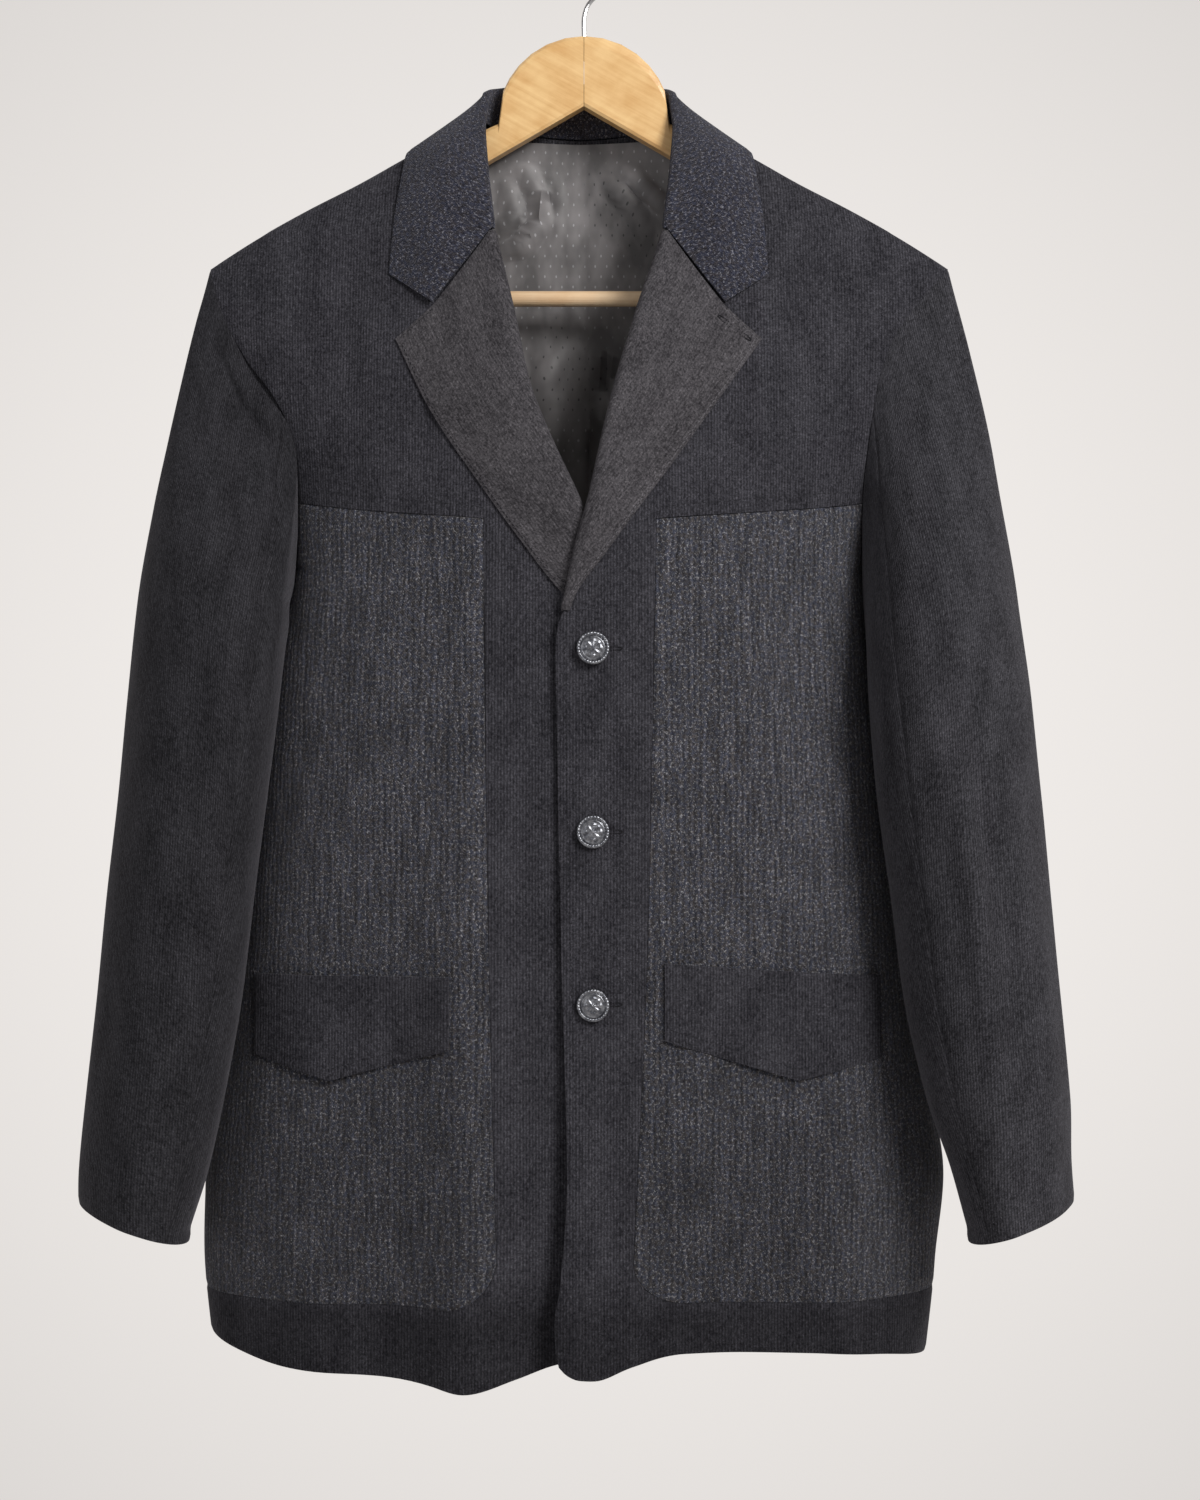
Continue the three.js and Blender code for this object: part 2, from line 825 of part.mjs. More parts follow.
function frontPieces(side) {
  const edgeX = curve(FRONT_EDGE[side], "down", "x");
  const bandX = curve(BAND_SEAM[side], "down", "x");
  const hemZ = curve(HEM[side], "x", "z");
  const armSteps = ARM_STEPS.filter((step) => step <= YOKE_STEP);
  const inner = (z) => {
    const x = edgeX(-z) + side * (foldRadius(-z) + 2 * SEAM * smooth((BREAK_EASE.z + z) / BREAK_EASE.over));
    return [turnOf(x, z), z];
  };
  const bandSeam = (z, gap) => [turnOf(bandX(-z) + side * gap, z), z];
  const yokeOuter = (v) => {
    const [turn, z] = armEdge(FRONT, side, v * YOKE_STEP);
    return [turn, z + YOKE_GAP * v];
  };
  const yokeEnd = armEdge(FRONT, side, YOKE_STEP);
  const seamPoint = bandSeam(YOKE_INNER_Z, 0);
  const yokeSeam = (u, gap) => [mix(seamPoint[0], yokeEnd[0], u), mix(seamPoint[1], yokeEnd[1], u) + gap];
  const place = ([turn, z]) => front(side, turn, z);

  // The yoke is two patches, above the band and above the panel, parted on a line up to the shoulder.
  const topPart = ridgeEdge(side, YOKE_PART);
  const innerZ = (v) => mix(ridgeZ(NECK_OUT), YOKE_INNER_Z, v);
  const partLine = (v) => [
    mix(topPart[0], seamPoint[0], v),
    mix(topPart[1], seamPoint[1] + YOKE_GAP, v),
  ];
  const yokeIn = (u, v) =>
    place(spread(
      (s) => ridgeEdge(side, s * YOKE_PART),
      (s) => [mix(inner(YOKE_INNER_Z)[0], seamPoint[0], s), YOKE_INNER_Z + YOKE_GAP * s],
      (s) => inner(innerZ(s)),
      partLine, u, v));
  const yokeOut = (u, v) =>
    place(spread(
      (s) => ridgeEdge(side, mix(YOKE_PART, 1, s)),
      (s) => yokeSeam(s, YOKE_GAP),
      partLine,
      yokeOuter, u, v));
  const yokeRows = armSteps.map((step) => step / YOKE_STEP);

  // The panel's lower inner corner is rounded: its bottom edge climbs a quarter circle.
  const cornerZ = HEM_SEAM_Z.inner + PANEL_CORNER;
  const acrossPanel = [...even(ARC_STEPS).map((s) => s * ARC_SHARE), ...PANEL_ACROSS];
  const cornerTurn = PANEL_CORNER / CORNER_RADIUS_TURN;
  const bottomSeam = (u, gap) => {
    const start = bandSeam(cornerZ, gap)[0];
    const end = sideTurn(FRONT, side, HEM_SEAM_Z.outer);
    const onArc = clamp(u / ARC_SHARE, 0, 1) * HALF_TURN;
    const arcX = cornerTurn * (1 - Math.cos(onArc)) * side;
    const arcZ = -PANEL_CORNER * Math.sin(onArc);
    const rest = clamp((u - ARC_SHARE) / (1 - ARC_SHARE), 0, 1);
    const turn = mix(start + arcX, end, rest);
    return [turn, cornerZ + arcZ + rest * (HEM_SEAM_Z.outer - HEM_SEAM_Z.inner) + gap];
  };
  const level = (u, gap) => {
    const start = bandSeam(BAND_MID_Z, gap);
    return [mix(start[0], sideTurn(FRONT, side, ARMPIT_Z), u), mix(BAND_MID_Z, ARMPIT_Z, u)];
  };
  const panelTop = (u, v) =>
    place(spread(
      (s) => {
        const start = bandSeam(YOKE_INNER_Z, HALF_SEAM);
        return [mix(start[0], yokeEnd[0], s), yokeSeam(s, -YOKE_GAP)[1]];
      },
      (s) => level(s, HALF_SEAM),
      (s) => bandSeam(mix(YOKE_INNER_Z - YOKE_GAP, BAND_MID_Z, s), HALF_SEAM),
      (s) => {
        const [turn, z] = armEdge(FRONT, side, mix(YOKE_STEP, ARMPIT_STEP, s));
        return [turn, z - YOKE_GAP * (1 - s)];
      }, u, v));
  const panelLow = (u, v) =>
    place(spread(
      (s) => level(s, HALF_SEAM),
      (s) => bottomSeam(s, HALF_SEAM),
      (s) => bandSeam(mix(BAND_MID_Z, cornerZ + HALF_SEAM, s), HALF_SEAM),
      (s) => {
        const z = mix(ARMPIT_Z, HEM_SEAM_Z.outer + HALF_SEAM, s);
        return [sideTurn(FRONT, side, z), z];
      }, u, v));
  const band = (u, v) => {
    const level = mix(YOKE_INNER_Z, cornerZ, v);
    const to = bandSeam(level, -HALF_SEAM * Math.min(v * BAND_STEPS, 1))[0];
    const z = level + u * mix(YOKE_GAP, -HALF_SEAM, v);
    return place([mix(inner(level)[0], to, u), z]);
  };
  const hemEdge = (turn) => hemZ(torso(FRONT, turn, HEM_LEVEL)[0]);
  const hemUnderBand = (u, v) => {
    const turnAt = (z) => mix(inner(z)[0], bandSeam(cornerZ, -HALF_SEAM)[0], u);
    const z = mix(cornerZ - HALF_SEAM * u, hemEdge(turnAt(HEM_LEVEL)), v);
    return place([turnAt(z), z]);
  };
  const hemUnderPanel = (u, v) => {
    const [turn, z] = bottomSeam(u, -HALF_SEAM);
    return place([turn, mix(z, hemEdge(turn), v)]);
  };
  const name = NAME[side];
  return [
    wall(`front_${name}`, [
      handed(side, yokeIn, BAND_ACROSS, yokeRows),
      handed(side, yokeOut, acrossPanel, yokeRows),
      handed(side, band, BAND_ACROSS, even(BAND_STEPS)),
      handed(side, hemUnderBand, BAND_ACROSS, HEM_ROWS),
      handed(side, hemUnderPanel, acrossPanel, HEM_ROWS),
    ], 0, CLOTH),
    wall(`front_panel_${name}`, [
      handed(side, panelTop, acrossPanel, even(PANEL_TOP_STEPS)),
      handed(side, panelLow, acrossPanel, PANEL_ROWS),
    ], 0, CLOTH),
  ];
}

function back(turn, z) {
  const [x, y] = torso(BACK, turn, z);
  const neck = NAPE.lift * bump(x - TORSO_CENTRE, NAPE.half) * bump(z - NAPE.z, NAPE.half);
  const root = Math.sqrt(Math.max(ridgeZ(Math.abs(x - TORSO_CENTRE)) - z, 0));
  return [x, y + neck * (1 - Math.exp(-root / NAPE.fade)) + ridgeGap(x, z), z];
}

// The back's top edge from the wearer's left tip over the neck to the right one, as [turn, z].
function backTop(u) {
  const out = mix(TIP_OUT, -TIP_OUT, u);
  const x = TORSO_CENTRE + out;
  const share = Math.min(Math.abs(out) / NECK_OUT, 1);
  const neckZ = ridgeZ(NECK_OUT) - NECK_DIP * (1 - share ** 2);
  const z = Math.abs(out) > NECK_OUT ? ridgeZ(Math.abs(out)) : neckZ;
  return [turnOf(x, z), z];
}

function backPieces() {
  const level = (u) => {
    const turn = mix(sideTurn(BACK, LEFT, ARMPIT_Z), sideTurn(BACK, RIGHT, ARMPIT_Z), u);
    return [turn, ARMPIT_Z];
  };
  const upper = (u, v) => {
    const [turn, z] = spread(
      backTop,
      level,
      (s) => armEdge(BACK, LEFT, s * ARMPIT_STEP),
      (s) => armEdge(BACK, RIGHT, s * ARMPIT_STEP), u, v);
    return back(turn, z);
  };
  const lower = (u, v) => {
    const z = mix(ARMPIT_Z, BACK_HEM_Z, v);
    const turn = mix(sideTurn(BACK, LEFT, z), sideTurn(BACK, RIGHT, z), u);
    return back(turn, z);
  };
  // The lining starts below the hanger and is a panel of its own inside the back.
  const lining = (u, v) => {
    const turn = mix(LINING_TURN, -LINING_TURN, u);
    const out = Math.abs(torso(BACK, turn, LINING_LEVEL)[0] - TORSO_CENTRE);
    const top = Math.min(LINING_TOP, ridgeZ(out) - LINING_DROP);
    return back(turn, mix(top, BACK_HEM_Z + LINING_HEM, v));
  };
  const gap = CLOTH + LINING_GAP;
  return [
    wall("back", [
      { at: upper, us: BACK_ACROSS, vs: ARM_STEPS.map((step) => step / ARMPIT_STEP) },
      { at: lower, us: BACK_ACROSS, vs: BACK_ROWS },
    ], 0, CLOTH),
    wall("lining_back", [
      { at: lining, us: even(LINING_STEPS), vs: even(LINING_STEPS).map((s) => s ** LINING_GRADED) },
    ], -gap, gap + LINING),
  ];
}

function lapel(side) {
  const shape = LAPEL[side];
  const foldX = curve(FRONT_EDGE[side], "down", "x");
  const outerX = curve(shape.edge, "down", "x");
  const foldAt = (v) => {
    const z = mix(shape.start[1], shape.break, v);
    return [foldX(-z), z];
  };
  const edgeAt = (v) => {
    const z = mix(LAPEL_CORNER_Z, shape.break, v);
    return [outerX(-z), z];
  };
  const topAt = (u) => {
    const onGorge = u < GORGE_SHARE;
    const from = onGorge ? [foldX(-shape.start[1]), shape.start[1]] : shape.notch;
    const to = onGorge ? shape.notch : edgeAt(0);
    const share = onGorge ? u / GORGE_SHARE : (u - GORGE_SHARE) / (1 - GORGE_SHARE);
    return [mix(from[0], to[0], share), mix(from[1], to[1], share)];
  };
  // u runs from the end of the turn under the fold, round the fold and out to the free edge.
  const at = (u, v) => {
    const radius = Math.max(foldRadius(v < 1 ? -foldAt(v)[1] : -shape.break), FOLD_LEAST);
    const share = u <= LAPEL_TURN ? 0 : (u - LAPEL_TURN) / (1 - LAPEL_TURN);
    const top = topAt(share);
    const bottom = [mix(foldAt(1)[0], edgeAt(1)[0], share), shape.break];
    const rows = [0, 1].map((i) => mix(top[i], bottom[i], v));
    const columns = [0, 1].map((i) => mix(foldAt(v)[i], edgeAt(v)[i], share));
    const corners = [0, 1].map((i) =>
      mix(mix(topAt(0)[i], topAt(1)[i], share), mix(foldAt(1)[i], edgeAt(1)[i], share), v));
    let [x, z] = [0, 1].map((i) => rows[i] + columns[i] - corners[i]);
    let high = 0;
    if (u <= LAPEL_TURN) {
      const angle = (u / LAPEL_TURN) * Math.PI;
      x += side * radius * (1 - Math.sin(angle));
      high = radius * (1 - Math.cos(angle)) - CLOTH;
    } else {
      x += side * radius * (1 - share) ** 3;
      const edge = LAPEL_CLOTH + LAPEL_GAP;
      high = mix(2 * radius - CLOTH, edge, smooth(share * LAPEL_SETTLE));
    }
    const [, y] = frontAt(side, x, z);
    return [x, y - high, z];
  };
  return wall(`lapel_${NAME[side]}`, [handed(side, at, LAPEL_ACROSS, even(LAPEL_STEPS))], 0, LAPEL_CLOTH);
}

// The body's outside over the shoulder: q is the root of the drop, positive in front and negative behind.
function shoulder(x, q) {
  const z = ridgeZ(Math.abs(x - TORSO_CENTRE)) - q * q;
  const turn = turnOf(x, z);
  return q < 0 ? back(turn, z) : front(x > TORSO_CENTRE ? LEFT : RIGHT, turn, z);
}

function offShoulder(x, q, high) {
  const step = 0.05;
  const across = minus(shoulder(x + step, q), shoulder(x - step, q));
  const forward = minus(shoulder(x, q + step), shoulder(x, q - step));
  return along(shoulder(x, q), unit(cross(across, forward)), -high);
}

function collar() {
  const read = {};
  for (const key of Object.keys(COLLAR[0]).slice(1)) read[key] = curve(COLLAR, "at", key);
  const edges = {
    [LEFT]: curve(FRONT_EDGE[LEFT], "down", "x"),
    [RIGHT]: curve(FRONT_EDGE[RIGHT], "down", "x"),
  };
  const base = (side, k) => {
    if (k < 3) {
      const out = mix(0, NECK_OUT - 0.5, (k / 3) ** 0.85);
      const z = ridgeZ(NECK_OUT) - NECK_DIP * (1 - (out / NECK_OUT) ** 2);
      const x = TORSO_CENTRE + side * out;
      const [, y] = back(turnOf(x, z), z);
      const near = smooth((k - 2) / 1);
      return [x - side * near, mix(Math.max(y - CLOTH, 0), 0, near ** 3), z + COLLAR_LIFT];
    }
    const z = mix(ridgeZ(NECK_OUT) + COLLAR_LIFT, COLLAR_END_Z, (k - 3) / 3);
    const x = edges[side](-z) + side * (foldRadius(-z) - CLOTH - SEAM);
    const share = smooth((k - 3) / 0.8);
    return [x - side * (1 - share) * 1.4, Math.min(frontAt(side, x, z)[1] + CLOTH, 0), z];
  };
  const at = (u, v) => {
    const w = mix(COLLAR_END, -COLLAR_END, u);
    const side = w >= 0 ? LEFT : RIGHT;
    const k = Math.abs(w);
    const fold = [TORSO_CENTRE + side * read.foldOut(k), read.foldY(k), read.foldZ(k)];
    const mid = [TORSO_CENTRE + side * read.midOut(k), read.midY(k), read.midZ(k)];
    const edgeX = TORSO_CENTRE + side * read.edgeOut(k);
    const edge = offShoulder(edgeX, read.edgeQ(k), CLOTH + COLLAR_GAP);
    // The fold stands upright behind the neck and lies over towards the neck at its front end.
    const lean = smooth((k - 3) / 3) * HALF_TURN;
    const level = unit([mid[0] - fold[0], mid[1] - fold[1], 0]);
    const tip = [-side * Math.sin(lean), 0, Math.cos(lean)];
    const away = k < 3 ? level : unit([side * Math.cos(lean), -Math.sin(lean), 0]);
    const centre = along(fold, tip, -COLLAR_RADIUS);
    // v runs down the outside from the fold's inner side: stand, fold, fall.
    if (v <= STAND_SHARE) {
      const from = base(side, k);
      const to = along(centre, away, -COLLAR_RADIUS);
      return [0, 1, 2].map((i) => mix(from[i], to[i], v / STAND_SHARE));
    }
    if (v <= FALL_FROM) {
      const angle = ((v - STAND_SHARE) / (FALL_FROM - STAND_SHARE)) * Math.PI;
      const p = along(centre, away, -COLLAR_RADIUS * Math.cos(angle));
      return along(p, tip, COLLAR_RADIUS * Math.sin(angle));
    }
    const t = (v - FALL_FROM) / (1 - FALL_FROM);
    const start = along(centre, away, COLLAR_RADIUS);
    const straight = smooth(k - COLLAR_END + 1);
    return [0, 1, 2].map((i) => {
      const control = 2 * mid[i] - (start[i] + edge[i]) / 2;
      const bent = mix(mix(start[i], control, t), mix(control, edge[i], t), t);
      const kinked = t < 0.5 ? mix(start[i], mid[i], 2 * t) : mix(mid[i], edge[i], 2 * t - 1);
      return mix(bent, kinked, straight);
    });
  };
  const half = COLLAR_STATIONS.map((s) => (1 - s) / 2);
  const us = [...half, 0.5, ...half.map((u) => 1 - u).reverse()];
  return wall("collar", [{ at, us, vs: COLLAR_ROWS }], 0, CLOTH);
}

function besideBody(side, y, z) {
  const half = halfWidth(-z);
  const x = centreX(-z) + side * half;
  const root = Math.sqrt(Math.max(ridgeZ(Math.abs(x - TORSO_CENTRE)) - z, 0));
  const share = clamp(Math.abs(y) / (y < 0 ? frontDepth(root) : backDepth(root)), 0, 1);
  const power = sectionPower(-z);
  const off = mix(BESIDE.near, BESIDE.far, smooth((ARMPIT_Z - z) / BESIDE.over));
  return side * centreX(-z) + half * (1 - share ** power) ** (1 / power) + off;
}

function sleevePieces(side) {
  const centre = curve(SLEEVE[side], "down", "centre");
  const half = curve(SLEEVE[side], "down", "half");
  const middleY = curve(SLEEVE[side], "down", "y");
  const long = curve(SLEEVE_LONG, "down", "long");
  const section = (angle, z) => {
    const b = long(-z);
    const across = Math.max(half(-z) ** 2 - (b * Math.sin(SLEEVE_TURN)) ** 2, 100);
    const a = Math.sqrt(across) / Math.cos(SLEEVE_TURN);
    const s = a * Math.cos(angle);
    const l = b * Math.sin(angle);
    const x = s * Math.cos(SLEEVE_TURN) - l * Math.sin(SLEEVE_TURN);
    const y = -s * Math.sin(SLEEVE_TURN) - l * Math.cos(SLEEVE_TURN);
    return [centre(-z) + side * x, middleY(-z) + y, z];
  };
  // Each step round the sleeve starts at a point of the armhole: down its front, then up its back.
  const last = ARM_STEPS.length - 1;
  const ring = ARM_STEPS.map((step) => ({ face: FRONT, step }));
  ring.push(...ARM_STEPS.slice(0, last).reverse().map((step) => ({ face: BACK, step })));
  const rootAt = (index) => {
    const low = Math.floor(index + 1e-9);
    const [a, b] = [ring[low], ring[Math.min(low + 1, ring.length - 1)]];
    const face = low >= last ? BACK : FRONT;
    const step = mix(a.step, b.step, index - low);
    const [turn, z] = armTurn(face, side, step);
    const body = face === FRONT ? front(side, turn, z) : back(turn, z);
    return { step, face, body };
  };
  const angleOf = (index) => {
    const { step, face } = rootAt(index);
    const round = Math.PI * (step / ARMPIT_STEP) ** CAP_GRADED;
    return face === FRONT ? round : 2 * Math.PI - round;
  };
  const at = (index, v) => {
    const { body, step } = rootAt(index);
    const angle = angleOf(index);
    const [cosine, sine] = [Math.cos(angle), Math.sin(angle)];
    const cuffZ = (CUFF_Z.outer + CUFF_Z.inner) / 2 + ((CUFF_Z.outer - CUFF_Z.inner) / 2) * cosine
      + ((CUFF_Z.front - CUFF_Z.back) / 2) * sine;
    const z = mix(body[2], cuffZ, v);
    const fade = 1 - smooth(v / ROOT_FADE);
    const start = section(angle, body[2]);
    const here = section(angle, z);
    const out = [0, 1].map((i) => here[i] + (body[i] - start[i]) * fade);
    // The sleeve's edge stands off the body's edge by the seam.
    const capped = Math.max(1 - step / CAP_STEPS, 0);
    const low = EDGE_OFF.armpit * bump(step - ARMPIT_STEP, 1);
    const off = (EDGE_OFF.seam + EDGE_OFF.cap * capped + low) * fade;
    const away = unit([side * Math.max(cosine + 0.7, 0.5), 0, -0.5]);
    const placed = along([...out, z], away, off);
    const pressed = side * Math.max(side * placed[0], besideBody(side, placed[1], z));
    placed[0] = mix(placed[0], pressed, smooth((ARMPIT_Z + BESIDE.above - z) / BESIDE.above));
    return placed;
  };
  const piece = (name, from, to, wrap = (index) => index) => {
    const count = to - from;
    const patch = (u, v) => at(wrap(mix(from + PIECE_GAP, to - PIECE_GAP, u)), v);
    const us = even(count).map((u) => clamp((u * count - PIECE_GAP) / (count - 2 * PIECE_GAP), 0, 1));
    // Seen from outside, the steps round the wearer's left sleeve run to the left.
    const flipped = side === LEFT ? (u, v) => patch(1 - u, v) : patch;
    const turnedUs = side === LEFT ? us.map((u) => 1 - u).reverse() : us;
    return wall(name, [{ at: flipped, us: turnedUs, vs: SLEEVE_ROWS }], 0, CLOTH);
  };
  const name = NAME[side];
  const whole = ring.length - 1;
  const upper = (index) => (index < 0 ? index + whole : index);
  return [
    piece(`sleeve_${name}_under`, UNDER_FROM, UNDER_TO),
    piece(`sleeve_${name}_upper`, UNDER_TO - whole, UNDER_FROM, upper),
  ];
}

function flap(side) {
  const shape = FLAP[side];
  const share = (shape.point - shape.inner) / (shape.outer - shape.inner);
  const at = (u, v) => {
    const x = mix(shape.inner, shape.outer, u);
    const top = mix(shape.top[0], shape.top[1], u);
    const [a, b, c] = shape.bottom;
    const bottom = u < share ? mix(a, b, u / share) : mix(b, c, (u - share) / (1 - share));
    return frontAt(side, x, mix(top, bottom, v));
  };
  const us = [...even(8).map((s) => s * share), ...even(4).slice(1).map((s) => mix(share, 1, s))];
  return wall(`pocket_flap_${NAME[side]}`, [handed(side, at, us, even(5))], CLOTH + shape.gap, -shape.gap);
}

// A button is a solid of revolution. Its axis points to the front.
function button({ name, z }) {
  const [, y] = frontAt(LEFT, BUTTON_X, z);
  const profile = BUTTON_PROFILE.map(({ radius, ahead }) => new THREE.Vector2(radius, ahead));
  const mesh = new THREE.Mesh(new THREE.LatheGeometry(profile, BUTTON_SIDES));
  mesh.name = name;
  mesh.rotation.x = Math.PI;
  mesh.position.set(BUTTON_X, y - 2 * SEAM, z);
  return mesh;
}

// A mesh as a solid for cutting and joining, in the part's frame.
function solidOf(mesh) {
  mesh.updateMatrixWorld();
  const geometry = mesh.geometry.clone().applyMatrix4(mesh.matrixWorld);
  geometry.deleteAttribute("normal");
  geometry.deleteAttribute("uv");
  const merged = mergeVertices(geometry, 1e-3);
  return new wasm.Manifold(new wasm.Mesh({
    numProp: 3,
    vertProperties: merged.attributes.position.array,
    triVerts: new Uint32Array(merged.index.array),
  }));
}

function meshFrom(name, solid) {
  const { vertProperties, triVerts, numProp, numVert } = solid.getMesh();
  const positions = [];
  for (let i = 0; i < numVert; i += 1) {
    positions.push(...vertProperties.subarray(i * numProp, i * numProp + 3));
  }
  return meshOf(name, positions, [...triVerts]);
}

// A round bar along X or Z.
function rod(name, radius, length, sides, [x, y, z], along) {
  const mesh = new THREE.Mesh(new THREE.CylinderGeometry(radius, radius, length, sides));
  mesh.name = name;
  mesh.position.set(x, y, z);
  if (along === "x") mesh.rotation.z = HALF_TURN;
  if (along === "z") mesh.rotation.x = HALF_TURN;
  return mesh;
}

function armTop(x) {
  const head = HEAD.z + Math.sqrt(Math.max(HEAD.radius ** 2 - x * x, 0));
  const under = Math.min(ridgeZ(x + TORSO_CENTRE), ridgeZ(x - TORSO_CENTRE)) - ARM_TOP_GAP;
  return x < HEAD.radius - 2 ? Math.max(head, under) : under;
}

function armUnder(x) {
  const heel = smooth((x - UNDERSIDE.from) / (UNDERSIDE.to - UNDERSIDE.from));
  return UNDERSIDE.z - UNDERSIDE.slope * x - UNDERSIDE.heel * heel;
}

// One arm: a ring of its section at each station out from the middle, narrower towards the tip.
function hangerArm(side) {
  const positions = [];
  const indices = [];
  const sides = ARM_SECTION.length;
  for (const x of ARM_STATIONS) {
    const top = armTop(x);
    const under = armUnder(x);
    const nose = 1 - NOSE.narrower * smooth((x - NOSE.from) / (ARM_TIP - NOSE.from));
    for (const { y, below, above } of ARM_SECTION) {
      const z = below === undefined ? under + above : top - below;
      positions.push(side * x, y * ARM_HALF * nose, mix((top + under) / 2, z, nose ** NOSE.power));
    }
  }
  const faces = [];
  for (let i = 0; i + 1 < ARM_STATIONS.length; i += 1) {
    for (let k = 0; k < sides; k += 1) {
      const j = (k + 1) % sides;
      const [a, b, c, d] = [i * sides + k, i * sides + j, (i + 1) * sides + j, (i + 1) * sides + k];
      faces.push([a, b, c], [a, c, d]);
    }
  }
  const last = (ARM_STATIONS.length - 1) * sides;
  for (let k = 1; k + 1 < sides; k += 1) {
    faces.push([0, k + 1, k], [last, last + k, last + k + 1]);
  }
  for (const [a, b, c] of faces) indices.push(...(side === LEFT ? [a, c, b] : [a, b, c]));
  const arm = solidOf(meshOf("arm", positions, indices));
  const socketAt = [(side * BAR.holeEnd) / 2, 0, BAR.z];
  const socket = solidOf(rod("socket", BAR.hole, BAR.holeEnd, BAR_SIDES, socketAt, "x"));
  const bore = solidOf(rod("bore", WIRE + SEAM, BORE.length, BORE_SIDES, [0, 0, BORE.z], "z"));
  return meshFrom(`hanger_arm_${NAME[side]}`, arm.subtract(socket).subtract(bore));
}

function hangerHook() {
  const centreZ = WIRE - HOOK_RADIUS;
  const round = [];
  for (let degree = HOOK_FROM; degree <= HOOK_TO; degree += HOOK_STEP) {
    const angle = (degree * Math.PI) / 180;
    const z = centreZ + HOOK_RADIUS * Math.sin(angle);
    round.push(new THREE.Vector3(HOOK_RADIUS * Math.cos(angle), 0, z));
  }
  const bend = STEM.map(({ x, z }) => new THREE.Vector3(x, 0, z));
  const angles = even(WIRE_SIDES).slice(1).map((s) => s * 2 * Math.PI);
  const ring = angles.map((a) => new THREE.Vector2(WIRE * Math.cos(a), WIRE * Math.sin(a)));
  const section = new THREE.Shape(ring);
  const extrudePath = new THREE.CatmullRomCurve3([...bend, ...round]);
  const mesh = new THREE.Mesh(new THREE.ExtrudeGeometry(section, { steps: HOOK_STEPS, extrudePath }));
  mesh.name = "hanger_hook";
  return mesh;
}

// Gives each mesh a material of its own.
function painted(finish, ...meshes) {
  for (const mesh of meshes) mesh.material = new THREE.MeshStandardMaterial(FINISH[finish]);
  return meshes;
}

function group(name, ...meshes) {
  const made = new THREE.Group();
  made.name = name;
  made.add(...meshes.flat());
  return made;
}

const root = new THREE.Group();

root.name = "formal_jacket";

for (const side of [LEFT, RIGHT]) {
  const [velvet, panel] = frontPieces(side);
  root.add(group(`half_${NAME[side]}`,
    painted("velvet", velvet, flap(side)),
    painted("lapel", lapel(side)),
    painted("knit", panel)));
  root.add(group(`arm_${NAME[side]}`, painted("sleeve", ...sleevePieces(side))));
}

const [backCloth, lining] = backPieces();

root.add(group("behind",
  painted("velvet", backCloth),
  painted("lining", lining),
  painted("knit", collar())));

root.add(group("buttons", painted("pewter", ...BUTTONS.map(button))));

const bar = rod("hanger_bar", BAR.radius, 2 * BAR.end, BAR_SIDES, [0, 0, BAR.z], "x");

root.add(group("hanger",
  painted("wood", hangerArm(LEFT), hangerArm(RIGHT)),
  painted("bar", bar),
  painted("steel", hangerHook())));

export default root;
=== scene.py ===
import math

import bpy
import numpy as np
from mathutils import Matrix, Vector


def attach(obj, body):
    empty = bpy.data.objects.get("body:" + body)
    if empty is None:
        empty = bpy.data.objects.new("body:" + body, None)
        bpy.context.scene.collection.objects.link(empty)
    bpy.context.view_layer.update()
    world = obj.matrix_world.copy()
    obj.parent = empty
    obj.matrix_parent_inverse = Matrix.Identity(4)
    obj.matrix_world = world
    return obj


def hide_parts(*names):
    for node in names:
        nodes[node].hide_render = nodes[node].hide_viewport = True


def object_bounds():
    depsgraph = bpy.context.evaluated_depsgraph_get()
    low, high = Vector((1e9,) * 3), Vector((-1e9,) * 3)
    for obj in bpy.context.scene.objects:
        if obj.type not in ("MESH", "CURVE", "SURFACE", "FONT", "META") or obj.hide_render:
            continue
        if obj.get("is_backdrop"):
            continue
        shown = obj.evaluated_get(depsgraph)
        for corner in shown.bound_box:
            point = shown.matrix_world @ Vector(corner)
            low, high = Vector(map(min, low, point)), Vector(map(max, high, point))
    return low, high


# Formal jacket on a wooden hanger, in its photographed state. Shapes are worked out in millimetres in the row
# frame and scaled to metres when a mesh is made. The wearer's left is +X.

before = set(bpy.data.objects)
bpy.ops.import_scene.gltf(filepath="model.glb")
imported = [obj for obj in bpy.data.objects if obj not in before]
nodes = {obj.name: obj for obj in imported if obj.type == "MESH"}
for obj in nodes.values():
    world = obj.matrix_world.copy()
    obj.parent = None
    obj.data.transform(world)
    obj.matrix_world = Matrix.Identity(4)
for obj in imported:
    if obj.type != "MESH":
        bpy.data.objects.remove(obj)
bounds_at_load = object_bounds()

MM = 0.001
FRONT, BACK = -1, 1
LEFT, RIGHT = 1, -1
SIDE_NAME = {LEFT: "left", RIGHT: "right"}
CLOTH = 2.0
LINING = 1.0
SEAM = 0.3
HALF_SEAM = SEAM / 2
HALF_TURN = math.pi / 2
# The spacing of the cloth's grid, and of its small pieces
STEP, FINE_STEP = 3.6, 2.6

